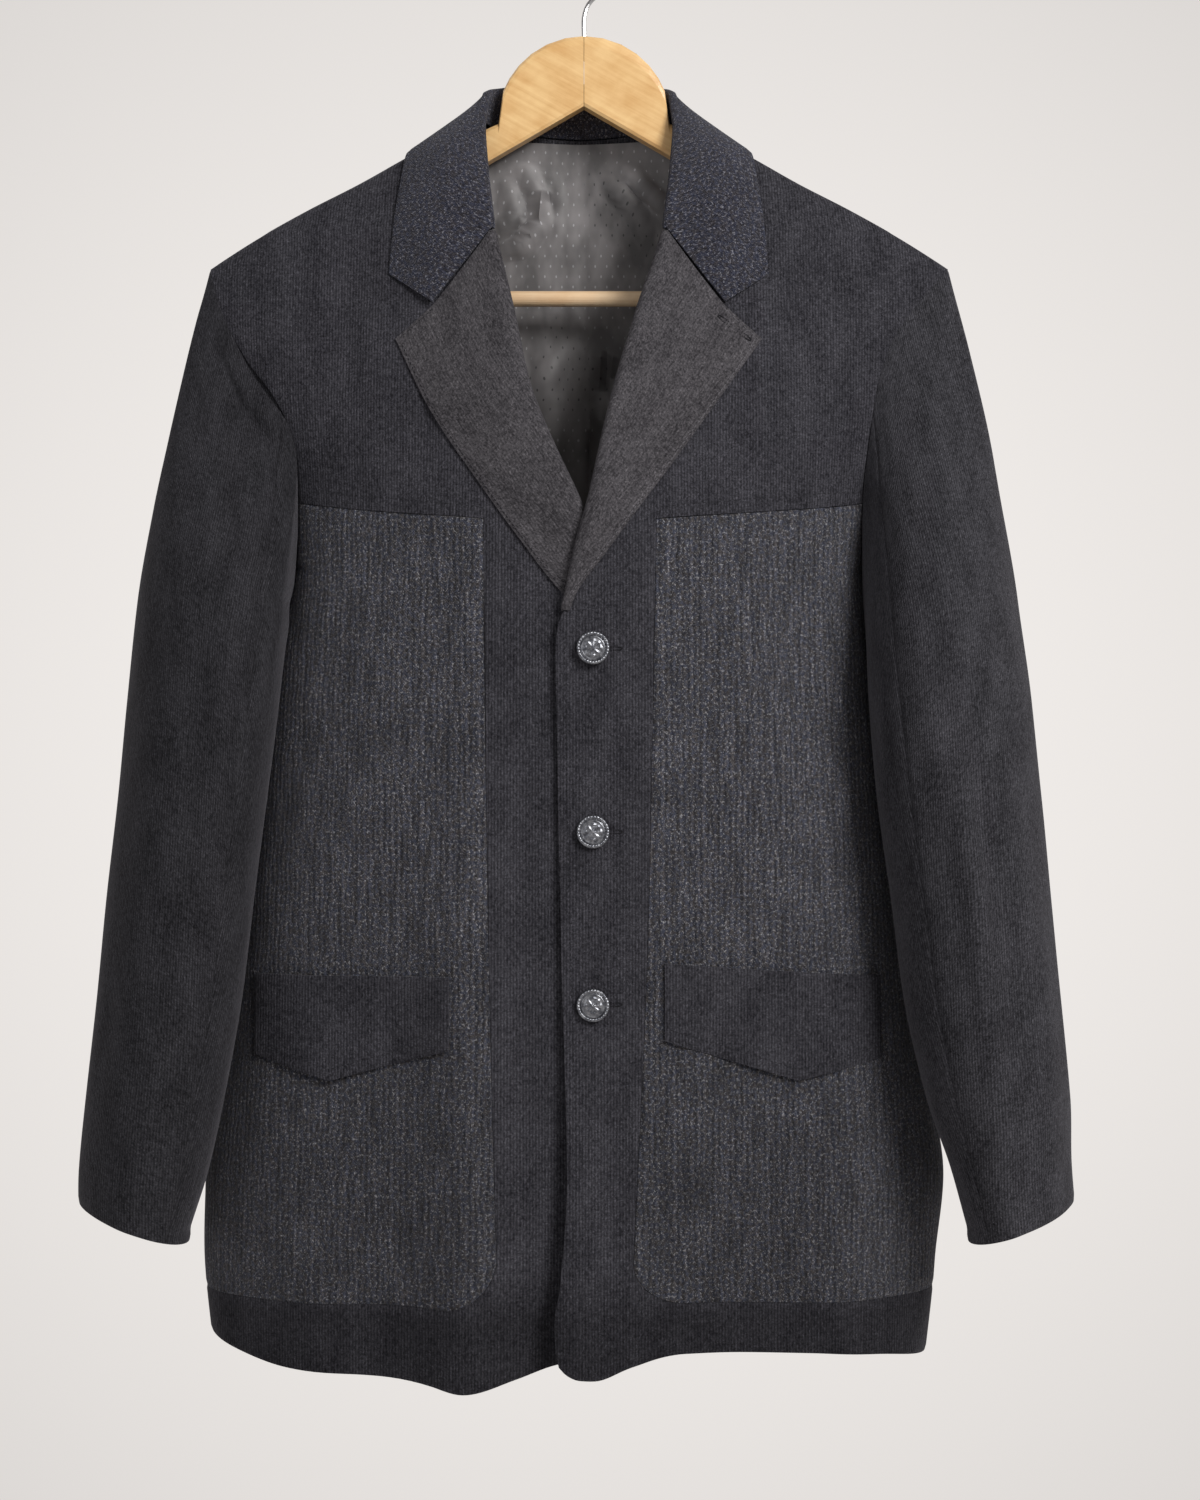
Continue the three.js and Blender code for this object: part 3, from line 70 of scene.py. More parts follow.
# The body: shoulder ridge (out, z), half width and centre by depth, and the stand-off of front and back by
# the drop below the ridge
RIDGE = [(0, -90), (65, -117), (109, -139), (142, -157.5), (174, -174), (206, -192), (239, -213), (300, -256)]
NECK_OUT, TIP_OUT, TORSO_CENTRE = 66, 238, -3
TORSO = [(190, 290, -3), (240, 250, -3), (300, 215, -3), (360, 190, -3), (409, 184, -4), (460, 191, -7),
         (520, 199, -8), (620, 210, -8), (700, 221, -7), (750, 231, -6), (793, 237, -6), (850, 234, -9),
         (915, 227, -9)]
# The sections are rounded boxes, rounder where the arms lie against them: the power by depth
SECTION = [(300, 2.6), (420, 2.2), (720, 2.2), (860, 2.6)]
STAND_OFF = [(0, 0, 0), (0.6, 3.3, 3.3), (2, 6.2, 6), (5, 9, 8.6), (12, 13, 11.5), (25, 18, 15), (50, 26, 20),
             (100, 39, 28), (150, 51, 32), (200, 61, 34), (300, 73, 36), (400, 77, 36), (600, 74, 34),
             (850, 74, 33)]
# Armhole: distance in from the shoulder tip, by the drop below it
ARMHOLE_FRONT = {
    LEFT: [(0, 0), (22, 19), (47, 37), (76, 48), (118, 55), (158, 58), (196, 58)],
    RIGHT: [(0, 0), (32, 10), (62, 26), (86, 44), (110, 56), (130, 60), (158, 60), (196, 58)],
}
ARMHOLE_BACK = [(0, 0), (25, 10), (60, 22), (110, 36), (155, 48), (196, 58)]
ARMPIT_DROP, YOKE_STEP, ARMPIT_STEP = 196, 11, 14
RIDGE_GAP, RIDGE_GAP_FADE = 0.3, 30
# The nape stands the back out: how far, how wide, its height, and its ease below the ridge
NAPE, NAPE_WIDE, NAPE_Z, NAPE_EASE = 10, 60, -120, 3
# A small step of turn that measures the cloth's length
TURN_STEP = 1e-3


def curve(rows, value=1):
    """Reads one column of a table by a smooth curve that never overshoots its rows."""
    at = np.array([row[0] for row in rows], float)
    of = np.array([row[value] for row in rows], float)
    step = np.diff(of) / np.diff(at)
    before, after = step[:-1], step[1:]
    inner = np.zeros(len(before))
    same = before * after > 0
    inner[same] = 2 / (1 / before[same] + 1 / after[same])
    slope = np.concatenate([step[:1], inner, step[-1:]])

    def read(position):
        p = np.clip(np.asarray(position, float), at[0], at[-1])
        i = np.clip(np.searchsorted(at, p) - 1, 0, len(at) - 2)
        wide = at[i + 1] - at[i]
        t = (p - at[i]) / wide
        rise = of[i + 1] - of[i]
        bend = t * (1 - t) * wide
        return of[i] + rise * t * t * (3 - 2 * t) + bend * ((1 - t) * slope[i] - t * slope[i + 1])

    return read


def mix(a, b, t):
    return a + (b - a) * t


def smooth(t):
    s = np.clip(t, 0, 1)
    return s * s * (3 - 2 * s)


def bump(distance, width):
    return np.exp(-((distance / width) ** 2))


def unit(a):
    return a / np.maximum(np.linalg.norm(a, axis=-1, keepdims=True), 1e-9)


ridge_z = curve(RIDGE)
half_width, centre_x, section_power = curve(TORSO), curve(TORSO, 2), curve(SECTION)
by_root = [(math.sqrt(drop), ahead, behind) for drop, ahead, behind in STAND_OFF]
front_depth, back_depth = curve(by_root), curve(by_root, 2)


def turn_of(x, z):
    """The angle round the body's section of the point at x and z."""
    across = np.clip((x - centre_x(-z)) / half_width(-z), -1, 1)
    power = section_power(-z)
    deep = (1 - np.abs(across) ** power) ** (1 / power)
    return np.arctan2(across, deep)


def ridge_drop(x, z):
    return np.maximum(ridge_z(np.abs(x - TORSO_CENTRE)) - z, 0)


def torso(face, turn, z):
    """A point of the body's outside at an angle round the section and a height."""
    turn, z = np.broadcast_arrays(np.asarray(turn, float), np.asarray(z, float))
    s, c = np.sin(turn), np.maximum(np.cos(turn), 0)
    power = section_power(-z)
    r = (np.abs(s) ** power + c**power) ** (1 / power)
    x = centre_x(-z) + half_width(-z) * s / r
    root = np.sqrt(ridge_drop(x, z))
    depth = front_depth(root) if face == FRONT else back_depth(root)
    return np.stack([x, face * depth * c / r, z], -1)


# Soft folds of the fronts: x, width, top, bottom, height above, height below
FOLDS = {
    LEFT: [(-14, 16, 500, 900, 1, 6), (5, 30, 700, 900, 0, 5), (90, 30, 600, 900, 0, -4),
           (160, 26, 560, 900, 0, 5)],
    RIGHT: [(-73, 30, 420, 905, 3, 18), (-108, 26, 420, 905, -2, 0), (-22, 30, 620, 905, 0, -5),
            (-165, 30, 600, 900, 0, 6)],
}
# How far the wearer's left front stands off the right one, and where that fades out
OVERLAP = curve([(330, 0), (372, 6.4), (400, 7), (440, 6.6), (475, 4.4), (530, 3.2), (910, 3.2)])
OVERLAP_FROM, OVERLAP_TO = 27, 48
# A fold begins this far above its top
FOLD_BEGINS = 60


def ridge_gap(x, z):
    return RIDGE_GAP * np.exp(-ridge_drop(x, z) / RIDGE_GAP_FADE)


def front_lift(side, x, z):
    lift = np.zeros_like(x)
    for at, width, top, bottom, high, low in FOLDS[side]:
        t = smooth((-z - top) / (bottom - top))
        begun = smooth((-z - top + FOLD_BEGINS) / FOLD_BEGINS)
        lift += begun * mix(high, low, t) * bump(x - at, width)
    if side == LEFT:
        lift += OVERLAP(-z) * smooth((OVERLAP_TO - x) / (OVERLAP_TO - OVERLAP_FROM))
    return lift


def front(side, turn, z):
    p = torso(FRONT, turn, z)
    p[..., 1] -= front_lift(side, p[..., 0], p[..., 2]) + ridge_gap(p[..., 0], p[..., 2])
    return p


def front_at(side, x, z):
    x, z = np.broadcast_arrays(np.asarray(x, float), np.asarray(z, float))
    return front(side, turn_of(x, z), z)


def back(turn, z):
    p = torso(BACK, turn, z)
    x, z = p[..., 0], p[..., 2]
    neck = NAPE * bump(x - TORSO_CENTRE, NAPE_WIDE) * bump(z - NAPE_Z, NAPE_WIDE)
    root = np.sqrt(ridge_drop(x, z))
    p[..., 1] += neck * (1 - np.exp(-root / NAPE_EASE)) + ridge_gap(x, z)
    return p


def drawn_back(face, turn, z, distance):
    """Draws a turn back towards the centre line by a distance along the cloth."""
    step = TURN_STEP * np.sign(turn)
    size = np.linalg.norm(torso(face, turn, z) - torso(face, turn - step, z), axis=-1)
    return turn - step * distance / size


def side_turn(face, side, z):
    z = np.asarray(z, float)
    return drawn_back(face, np.full(z.shape, side * HALF_TURN), z, HALF_SEAM)


def arm_turn(face, side, step):
    """The armhole's edge on one face of the body, as turn and z, from the tip at 0 to the armpit at 14."""
    step = np.asarray(step, float)
    drop = ARMPIT_DROP * step / ARMPIT_STEP
    table = ARMHOLE_FRONT[side] if face == FRONT else ARMHOLE_BACK
    x = TORSO_CENTRE + side * (TIP_OUT - curve(table)(drop))
    z = ridge_z(TIP_OUT) - drop
    return np.where(step > ARMPIT_STEP - 1e-6, side * HALF_TURN, turn_of(x, z)), z


def arm_edge(face, side, step):
    turn, z = arm_turn(face, side, step)
    return drawn_back(face, turn, z, HALF_SEAM), z


# Fronts: free edge, band seam and hem by depth or by x
FRONT_EDGE = {
    LEFT: [(117, 63), (150, 57), (195, 49), (251, 31.9), (295, 19.3), (322, 12.8), (370, 2.5), (396, -4.6),
           (423, -10.4), (440, -14), (461, -16.5), (500, -16), (650, -13), (783, -9.5), (848, -14),
           (868, -17.5),
           (885, -16.5), (910, -10)],
    RIGHT: [(117, -69), (150, -63), (195, -55), (251, -42.2), (296, -32.5), (327, -20.8), (374, 0.5),
            (400, 10),
            (430, 19), (460, 22.5), (910, 23)],
}
FOLD_RADIUS = curve([(117, 0), (135, 1.5), (195, 4.2), (350, 4.2), (400, 2.6), (436, 2), (446, 0)])
BAND_SEAM = {LEFT: [(381, 45), (640, 39.5), (870, 29)], RIGHT: [(381, -61), (640, -57), (870, -51)]}
YOKE_INNER_Z = -381
ARMPIT_Z = float(ridge_z(TIP_OUT)) - ARMPIT_DROP
BAND_MID_Z = -424
HEM_SEAM_INNER, HEM_SEAM_OUTER = -860, -864
PANEL_CORNER = 28
YOKE_GAP = 0.25
HEM = {
    LEFT: [(-15, -894), (-11, -899.5), (-4, -903), (6, -904), (31, -896.5), (62, -891), (140, -892),
           (180, -896), (226, -906)],
    RIGHT: [(-245, -888), (-222, -895), (-185, -902), (-135, -904), (-95, -906.5), (-72, -910), (-40, -905),
            (-10, -897), (24, -895)],
}
BACK_HEM_Z = -899
HEM_LEVEL = -895
# The edge's seam allowance ends at the break, over this height
BREAK_DEPTH, BREAK_EASE = 446, 20
# Where the yoke's two patches meet along the shoulder, and the share of the panel's bottom on its corner
YOKE_PART, ARC_SHARE = 0.36, 0.25
# Millimetres across the cloth for one radian of turn at that corner
CORNER_REACH = 200
BAND_EASE = 12
# Rough lengths of the patches' sides, which set how fine their grids are: fronts, back and lining
BAND_WIDE, BAND_LONG, HEM_HIGH = 75, 450, 46
YOKE_WIDE, YOKE_LONG, RIM_SHARE, RIM_LONG = 130, 215, 0.02, 8
CORNER_LONG, PANEL_WIDE, PANEL_TOP_LONG, PANEL_LONG = 60, 150, 45, 440
NECK_FROM, NECK_TO, SHOULDER_WIDE, NECK_WIDE = 0.36, 0.64, 190, 140
BACK_RIM_LONG, BACK_TOP_LONG, BACK_LONG, BACK_STEP = 6, 290, 480, 5
LINING_WIDE, LINING_PART, LINING_UPPER_LONG, LINING_LOWER_LONG = 420, 0.35, 340, 480


def pair(a, b):
    a, b = np.broadcast_arrays(np.asarray(a, float), np.asarray(b, float))
    return np.stack([a, b], -1)


def spread(top, bottom, inner, outer, u, v):
    """A four-sided patch between curves: top and bottom run from the inner edge outward."""
    rows = mix(top(u), bottom(u), v[..., None])
    columns = mix(inner(v), outer(v), u[..., None])
    zero, one = np.zeros(1), np.ones(1)
    upper = mix(top(zero)[0], top(one)[0], u[..., None])
    lower = mix(bottom(zero)[0], bottom(one)[0], u[..., None])
    return rows + columns - mix(upper, lower, v[..., None])


def ridge_edge(side, u):
    out = mix(NECK_OUT, TIP_OUT, u)
    z = ridge_z(out)
    return pair(turn_of(TORSO_CENTRE + side * out, z), z)


def steps(length, step=STEP):
    """Evenly spaced values from 0 to 1 for a side of that length."""
    return np.linspace(0, 1, max(int(round(length / step)), 2) + 1)


def joined(*runs):
    """Evenly spaced values through several stops of one side, each run given as (from, to, length)."""
    parts = [mix(a, b, steps(length))[:-1] for a, b, length in runs]
    return np.concatenate(parts + [[runs[-1][1]]])


def gridded(at, us, vs, flip=False):
    """One four-sided run of cloth: at(u, v) gives [turn, z] or a point for each place of the grid."""
    points = at(*np.meshgrid(us, vs))
    return points[:, ::-1] if flip else points


def front_patches(side):
    """The two cloths of a front as [turn, z] patches: velvet yoke, band and hem, and the knitted panel."""
    edge_x, band_x, hem_z = curve(FRONT_EDGE[side]), curve(BAND_SEAM[side]), curve(HEM[side])

    def inner(z):
        x = edge_x(-z) + side * (FOLD_RADIUS(-z) + 2 * SEAM * smooth((BREAK_DEPTH + z) / BREAK_EASE))
        return pair(turn_of(x, z), z)

    def band_seam(z, gap):
        z = np.asarray(z, float)
        return pair(turn_of(band_x(-z) + side * gap, z), z)

    def yoke_outer(v):
        turn, z = arm_edge(FRONT, side, v * YOKE_STEP)
        return pair(turn, z + YOKE_GAP * v)

    yoke_end = pair(*arm_edge(FRONT, side, np.array(float(YOKE_STEP))))
    seam_point = band_seam(YOKE_INNER_Z, 0)
    top_part = ridge_edge(side, np.array(YOKE_PART))
    yoke_end_in = inner(YOKE_INNER_Z)[0]

    def yoke_seam(u, gap):
        return pair(mix(seam_point[0], yoke_end[0], u), mix(seam_point[1], yoke_end[1], u) + gap)

    def part_line(v):
        return pair(mix(top_part[0], seam_point[0], v), mix(top_part[1], seam_point[1] + YOKE_GAP, v))

    def yoke_in(u, v):
        return spread(lambda s: ridge_edge(side, s * YOKE_PART),
                      lambda s: pair(mix(yoke_end_in, seam_point[0], s), YOKE_INNER_Z + YOKE_GAP * s),
                      lambda s: inner(mix(ridge_z(NECK_OUT), YOKE_INNER_Z, s)), part_line, u, v)

    def yoke_out(u, v):
        return spread(lambda s: ridge_edge(side, mix(YOKE_PART, 1, s)), lambda s: yoke_seam(s, YOKE_GAP),
                      part_line, yoke_outer, u, v)

    corner_z = HEM_SEAM_INNER + PANEL_CORNER

    def bottom_seam(u, gap):
        start = band_seam(corner_z, gap)[0]
        end = side_turn(FRONT, side, np.array(float(HEM_SEAM_OUTER)))
        on_arc = np.clip(u / ARC_SHARE, 0, 1) * HALF_TURN
        rest = np.clip((u - ARC_SHARE) / (1 - ARC_SHARE), 0, 1)
        turn = mix(start + side * PANEL_CORNER / CORNER_REACH * (1 - np.cos(on_arc)), end, rest)
        z = corner_z - PANEL_CORNER * np.sin(on_arc) + rest * (HEM_SEAM_OUTER - HEM_SEAM_INNER) + gap
        return pair(turn, z)

    def level(u, gap):
        start = band_seam(BAND_MID_Z, gap)
        return pair(mix(start[0], side_turn(FRONT, side, ARMPIT_Z), u), mix(BAND_MID_Z, ARMPIT_Z, u))

    def panel_top(u, v):
        start = band_seam(YOKE_INNER_Z, HALF_SEAM)

        def outer(s):
            turn, z = arm_edge(FRONT, side, mix(YOKE_STEP, ARMPIT_STEP, s))
            return pair(turn, z - YOKE_GAP * (1 - s))

        def beside_band(s):
            return band_seam(mix(YOKE_INNER_Z - YOKE_GAP, BAND_MID_Z, s), HALF_SEAM)

        return spread(lambda s: pair(mix(start[0], yoke_end[0], s), yoke_seam(s, -YOKE_GAP)[..., 1]),
                      lambda s: level(s, HALF_SEAM), beside_band, outer, u, v)

    def panel_low(u, v):
        def outer(s):
            z = mix(ARMPIT_Z, HEM_SEAM_OUTER + HALF_SEAM, s)
            return pair(side_turn(FRONT, side, z), z)

        return spread(lambda s: level(s, HALF_SEAM), lambda s: bottom_seam(s, HALF_SEAM),
                      lambda s: band_seam(mix(BAND_MID_Z, corner_z + HALF_SEAM, s), HALF_SEAM), outer, u, v)

    def band(u, v):
        at = mix(YOKE_INNER_Z, corner_z, v)
        to = band_seam(at, -HALF_SEAM * np.minimum(v * BAND_EASE, 1))[..., 0]
        return pair(mix(inner(at)[..., 0], to, u), at + u * mix(YOKE_GAP, -HALF_SEAM, v))

    def hem_edge(turn):
        return hem_z(torso(FRONT, turn, HEM_LEVEL)[..., 0])

    def hem_under_band(u, v):
        def turn_at(z):
            return mix(inner(z)[..., 0], band_seam(corner_z, -HALF_SEAM)[0], u)

        z = mix(corner_z - HALF_SEAM * u, hem_edge(turn_at(HEM_LEVEL)), v)
        return pair(turn_at(z), z)

    def hem_under_panel(u, v):
        seam = bottom_seam(u, -HALF_SEAM)
        return pair(seam[..., 0], mix(seam[..., 1], hem_edge(seam[..., 0]), v))

    flip = side == RIGHT
    across_in = steps(BAND_WIDE)
    rows = joined((0, RIM_SHARE, RIM_LONG), (RIM_SHARE, 1, YOKE_LONG))
    across_panel = joined((0, ARC_SHARE, CORNER_LONG), (ARC_SHARE, 1, PANEL_WIDE))
    hem_rows = steps(HEM_HIGH)
    velvet = [(yoke_in, across_in, rows), (yoke_out, steps(YOKE_WIDE), rows),
              (band, across_in, steps(BAND_LONG)),
              (hem_under_band, across_in, hem_rows), (hem_under_panel, across_panel, hem_rows)]
    knit = [(panel_top, across_panel, steps(PANEL_TOP_LONG)), (panel_low, across_panel, steps(PANEL_LONG))]
    return [[gridded(*run, flip) for run in runs] for runs in (velvet, knit)]


NECK_DIP = 5


def back_top(u):
    out = mix(TIP_OUT, -TIP_OUT, u)
    share = np.minimum(np.abs(out) / NECK_OUT, 1)
    neck_z = ridge_z(NECK_OUT) - NECK_DIP * (1 - share**2)
    z = np.where(np.abs(out) > NECK_OUT, ridge_z(np.abs(out)), neck_z)
    return pair(turn_of(TORSO_CENTRE + out, z), z)


def back_patches():
    def level(u):
        turn = mix(side_turn(BACK, LEFT, ARMPIT_Z), side_turn(BACK, RIGHT, ARMPIT_Z), u)
        return pair(turn, ARMPIT_Z)

    def upper(u, v):
        return spread(back_top, level, lambda s: pair(*arm_edge(BACK, LEFT, s * ARMPIT_STEP)),
                      lambda s: pair(*arm_edge(BACK, RIGHT, s * ARMPIT_STEP)), u, v)

    def lower(u, v):
        z = mix(ARMPIT_Z, BACK_HEM_Z, v)
        return pair(mix(side_turn(BACK, LEFT, z), side_turn(BACK, RIGHT, z), u), z)

    across = joined((0, NECK_FROM, SHOULDER_WIDE), (NECK_FROM, NECK_TO, NECK_WIDE),
                    (NECK_TO, 1, SHOULDER_WIDE))
    rows = joined((0, RIM_SHARE, BACK_RIM_LONG), (RIM_SHARE, 1, BACK_TOP_LONG))
    return [gridded(upper, across, rows), gridded(lower, across, steps(BACK_LONG, BACK_STEP))]


LINING_TOP, LINING_DROP, LINING_LEVEL = -125, 17, -180
LINING_HEM, LINING_GAP = 22, 2


def lining_patches():
    def lining(u, v):
        turn = mix(1, -1, u)
        out = np.abs(torso(BACK, turn, LINING_LEVEL)[..., 0] - TORSO_CENTRE)
        top = np.minimum(LINING_TOP, ridge_z(out) - LINING_DROP)
        return pair(turn, mix(top, BACK_HEM_Z + LINING_HEM, v))

    rows = joined((0, LINING_PART, LINING_UPPER_LONG), (LINING_PART, 1, LINING_LOWER_LONG))
    return [gridded(lining, steps(LINING_WIDE), rows)]


# Lapels: start of the fold, notch, break, and the outer edge by depth
LAPEL = {
    LEFT: {"start": (49, -197.5), "notch": (87.5, -244.8), "break": -438,
           "edge": [(266, 111.4), (323, 71.7), (353, 50.2), (403, 14), (430, -5), (440, -8.5)]},
    RIGHT: {"start": (-55, -197.5), "notch": (-93.5, -244.8), "break": -434,
            "edge": [(266, -117.4), (312, -95), (360, -63.1), (396, -37.2), (428, -11.6), (440, 4)]},
}
LAPEL_CLOTH, LAPEL_GAP = 1.6, 0.45
LAPEL_CUT, LAPEL_TURNED = 0.58, 0.3
# The top of the outer edge, the least radius of the fold, how far the lapel's middle stands off, and how soon
# it comes down to its edge
LAPEL_EDGE_TOP, LAPEL_RADIUS, LAPEL_ROLL, LAPEL_FALL = -266.0, 1.9, 1.1, 1.15
LAPEL_TURN_LONG, LAPEL_WIDE, LAPEL_LONG = 16, 78, 250


def lapel_patch(side):
    shape = LAPEL[side]
    fold_x, outer_x = curve(FRONT_EDGE[side]), curve(shape["edge"])
    start, notch, end = shape["start"], shape["notch"], shape["break"]

    def fold_at(v):
        z = mix(start[1], end, v)
        return pair(fold_x(-z), z)

    def edge_at(v):
        z = mix(LAPEL_EDGE_TOP, end, v)
        return pair(outer_x(-z), z)

    def top_at(share):
        near = np.clip(share / LAPEL_CUT, 0, 1)[..., None]
        far = np.clip((share - LAPEL_CUT) / (1 - LAPEL_CUT), 0, 1)[..., None]
        first = pair(fold_x(-start[1]), start[1])
        to_notch = mix(first, np.array(notch, float), near)
        to_edge = mix(np.array(notch, float), edge_at(np.zeros(1))[0], far)
        return np.where(share[..., None] < LAPEL_CUT, to_notch, to_edge)

    def at(u, v):
        radius = np.maximum(FOLD_RADIUS(-fold_at(v)[..., 1]), LAPEL_RADIUS)
        share = np.clip((u - LAPEL_TURNED) / (1 - LAPEL_TURNED), 0, 1)
        s, w = share[..., None], v[..., None]
        one, zero = np.ones(1), np.zeros(1)
        bottom = mix(fold_at(one)[0], edge_at(one)[0], s)
        corners = mix(mix(top_at(zero)[0], top_at(one)[0], s), bottom, w)
        flat = mix(top_at(share), bottom, w) + mix(fold_at(v), edge_at(v), s) - corners
        x, z = flat[..., 0], flat[..., 1]
        angle = np.clip(u / LAPEL_TURNED, 0, 1) * math.pi
        on_turn = u <= LAPEL_TURNED
        x = x + side * radius * np.where(on_turn, 1 - np.sin(angle), (1 - share) ** 3)
        edge = LAPEL_CLOTH + LAPEL_GAP
        high = np.where(on_turn, radius * (1 - np.cos(angle)) - CLOTH,
                        mix(2 * radius - CLOTH, edge, smooth(share * LAPEL_FALL)))
        # The lapel rolls: it stands a little off the chest between the fold and the edge.
        high = high + LAPEL_ROLL * np.sin(math.pi * share) * smooth(v * 5) * smooth((1 - v) * 4)
        p = front_at(side, x, z)
        p[..., 1] -= high
        return p

    us = joined((0, LAPEL_TURNED, LAPEL_TURN_LONG), (LAPEL_TURNED, 1, LAPEL_WIDE))
    return gridded(at, us, steps(LAPEL_LONG, FINE_STEP), side == RIGHT)


def shoulder(x, q):
    """The body's outside over the shoulder: q is the root of the drop, less than zero behind."""
    z = ridge_z(np.abs(x - TORSO_CENTRE)) - q * q
    turn = turn_of(x, z)
    ahead = np.where((x > TORSO_CENTRE)[..., None], front(LEFT, turn, z), front(RIGHT, turn, z))
    return np.where((q < 0)[..., None], back(turn, z), ahead)


def off_shoulder(x, q, high):
    step = 0.05
    across = shoulder(x + step, q) - shoulder(x - step, q)
    forward = shoulder(x, q + step) - shoulder(x, q - step)
    return shoulder(x, q) - high * unit(np.cross(across, forward))


# The collar round to its tip: fold out, y, z, middle out, y, z, edge out and root of the drop
COLLAR = [
    (0, 0, 27, -84, 0, 35, -112, 0, -7.2),
    (1, 28, 24, -86, 36, 33, -113, 45, -5.9),
    (2, 51, 14, -91, 66, 23, -116, 84, -4.2),
    (3, 60, 0, -98, 83, 1, -118, 108, 0),
    (4, 61, -14, -120, 88, -21, -136, 113, 4.1),
    (5, 57, -27, -156, 87, -34, -168, 116.5, 6.5),
    (6, 52, -37, -195.4, 91.5, -46, -243, 119, 8.9),
]
COLLAR_END, COLLAR_RADIUS, COLLAR_GAP = 6, 3, 0.5
COLLAR_STAND, COLLAR_FOLD = 0.25, 0.4
# Where its base ends, how far it stands over the neck seam, its tuck beside the lapels, and its columns
COLLAR_BASE_Z, COLLAR_LIFT, COLLAR_TUCK, COLLAR_COLUMNS = -195.4, 0.8, 1.4, 92
# The step of the table at the shoulder, where the collar turns to the front
COLLAR_TURN = 3
STAND_LONG, FOLD_LONG, FALL_LONG = 34, 14, 66


def collar_patch():
    read = [curve(COLLAR, value) for value in range(1, 9)]
    edge_x = {side: curve(FRONT_EDGE[side]) for side in (LEFT, RIGHT)}

    def base(side, k):
        out = mix(0, NECK_OUT - 0.5, np.clip(k / COLLAR_TURN, 0, 1) ** 0.85)
        z = ridge_z(NECK_OUT) - NECK_DIP * (1 - (out / NECK_OUT) ** 2)
        x = TORSO_CENTRE + side * out
        near = smooth(k - 2)
        y = back(turn_of(x, z), z)[..., 1]
        behind = np.stack([x - side * near, np.maximum(y - CLOTH, 0) * (1 - near**3), z + COLLAR_LIFT], -1)
        z = mix(ridge_z(NECK_OUT) + COLLAR_LIFT, COLLAR_BASE_Z, np.clip((k - COLLAR_TURN) / 3, 0, 1))
        x = edge_x[side](-z) + side * (FOLD_RADIUS(-z) - CLOTH - SEAM)
        y = np.minimum(front_at(side, x, z)[..., 1] + CLOTH, 0)
        ahead = np.stack([x - side * (1 - smooth((k - COLLAR_TURN) / 0.8)) * COLLAR_TUCK, y, z], -1)
        return np.where((k < COLLAR_TURN)[..., None], behind, ahead)

    def half(side, k, v):
        fold_out, fold_y, fold_z, mid_out, mid_y, mid_z, edge_out, edge_q = [one(k) for one in read]
        fold = np.stack([TORSO_CENTRE + side * fold_out, fold_y, fold_z], -1)
        mid = np.stack([TORSO_CENTRE + side * mid_out, mid_y, mid_z], -1)
        edge = off_shoulder(TORSO_CENTRE + side * edge_out, edge_q, CLOTH + COLLAR_GAP)
        lean = smooth((k - COLLAR_TURN) / 3) * HALF_TURN
        level = mid - fold
        level[..., 2] = 0
        tip = np.stack([-side * np.sin(lean), np.zeros_like(lean), np.cos(lean)], -1)
        leaning = np.stack([side * np.cos(lean), -np.sin(lean), np.zeros_like(lean)], -1)
        away = np.where((k < COLLAR_TURN)[..., None], unit(level), unit(leaning))
        centre = fold - COLLAR_RADIUS * tip
        w = v[..., None]
        inner_edge = centre - COLLAR_RADIUS * away
        stand = mix(base(side, k), inner_edge, np.clip(w / COLLAR_STAND, 0, 1))
        angle = np.clip((w - COLLAR_STAND) / (COLLAR_FOLD - COLLAR_STAND), 0, 1) * math.pi
        fold_over = centre - COLLAR_RADIUS * np.cos(angle) * away + COLLAR_RADIUS * np.sin(angle) * tip
        t = np.clip((w - COLLAR_FOLD) / (1 - COLLAR_FOLD), 0, 1)
        start = centre + COLLAR_RADIUS * away
        control = 2 * mid - (start + edge) / 2
        bent = mix(mix(start, control, t), mix(control, edge, t), t)
        kinked = np.where(t < 0.5, mix(start, mid, 2 * t), mix(mid, edge, 2 * t - 1))
        fall = mix(bent, kinked, smooth(k - COLLAR_END + 1)[..., None])
        return np.where(w <= COLLAR_STAND, stand, np.where(w <= COLLAR_FOLD, fold_over, fall))

    def at(u, v):
        w = mix(COLLAR_END, -COLLAR_END, u)
        k = np.abs(w)
        return np.where((w >= 0)[..., None], half(LEFT, k, v), half(RIGHT, k, v))

    end = np.linspace(0, 0.5, COLLAR_COLUMNS)
    us = np.concatenate([end, 1 - end[::-1][1:]])
    vs = joined((0, COLLAR_STAND, STAND_LONG), (COLLAR_STAND, COLLAR_FOLD, FOLD_LONG),
                (COLLAR_FOLD, 1, FALL_LONG))
    return gridded(at, us, vs)


# Sleeves: centre, half width and middle y by depth
SLEEVE = {
    LEFT: [(205, 197, 46, -14), (265, 207.9, 47.9, -18), (330, 216.2, 49.2, -24), (370, 219.5, 49.5, -27),
           (431, 223.8, 50.8, -34), (492, 228.8, 52.3, -40), (553, 234, 52, -45), (614, 240.4, 50.4, -49),
           (675, 246.6, 49.1, -53), (736, 256, 45.2, -56), (779, 263.8, 38.8, -58), (815, 270, 35.5, -60)],
    RIGHT: [(205, -203, 46, -14), (265, -213.9, 47.9, -18), (330, -222, 49, -24), (370, -225.4, 50.4, -27),
            (431, -231.5, 50.5, -34), (492, -237.5, 49.5, -40), (553, -243.5, 48, -45),
            (614, -250.1, 47.1, -49),
            (675, -255.9, 45.9, -53), (736, -264.1, 43.6, -56), (779, -270.5, 41, -58), (815, -276, 36, -60)],
}
SLEEVE_TURN = 0.42
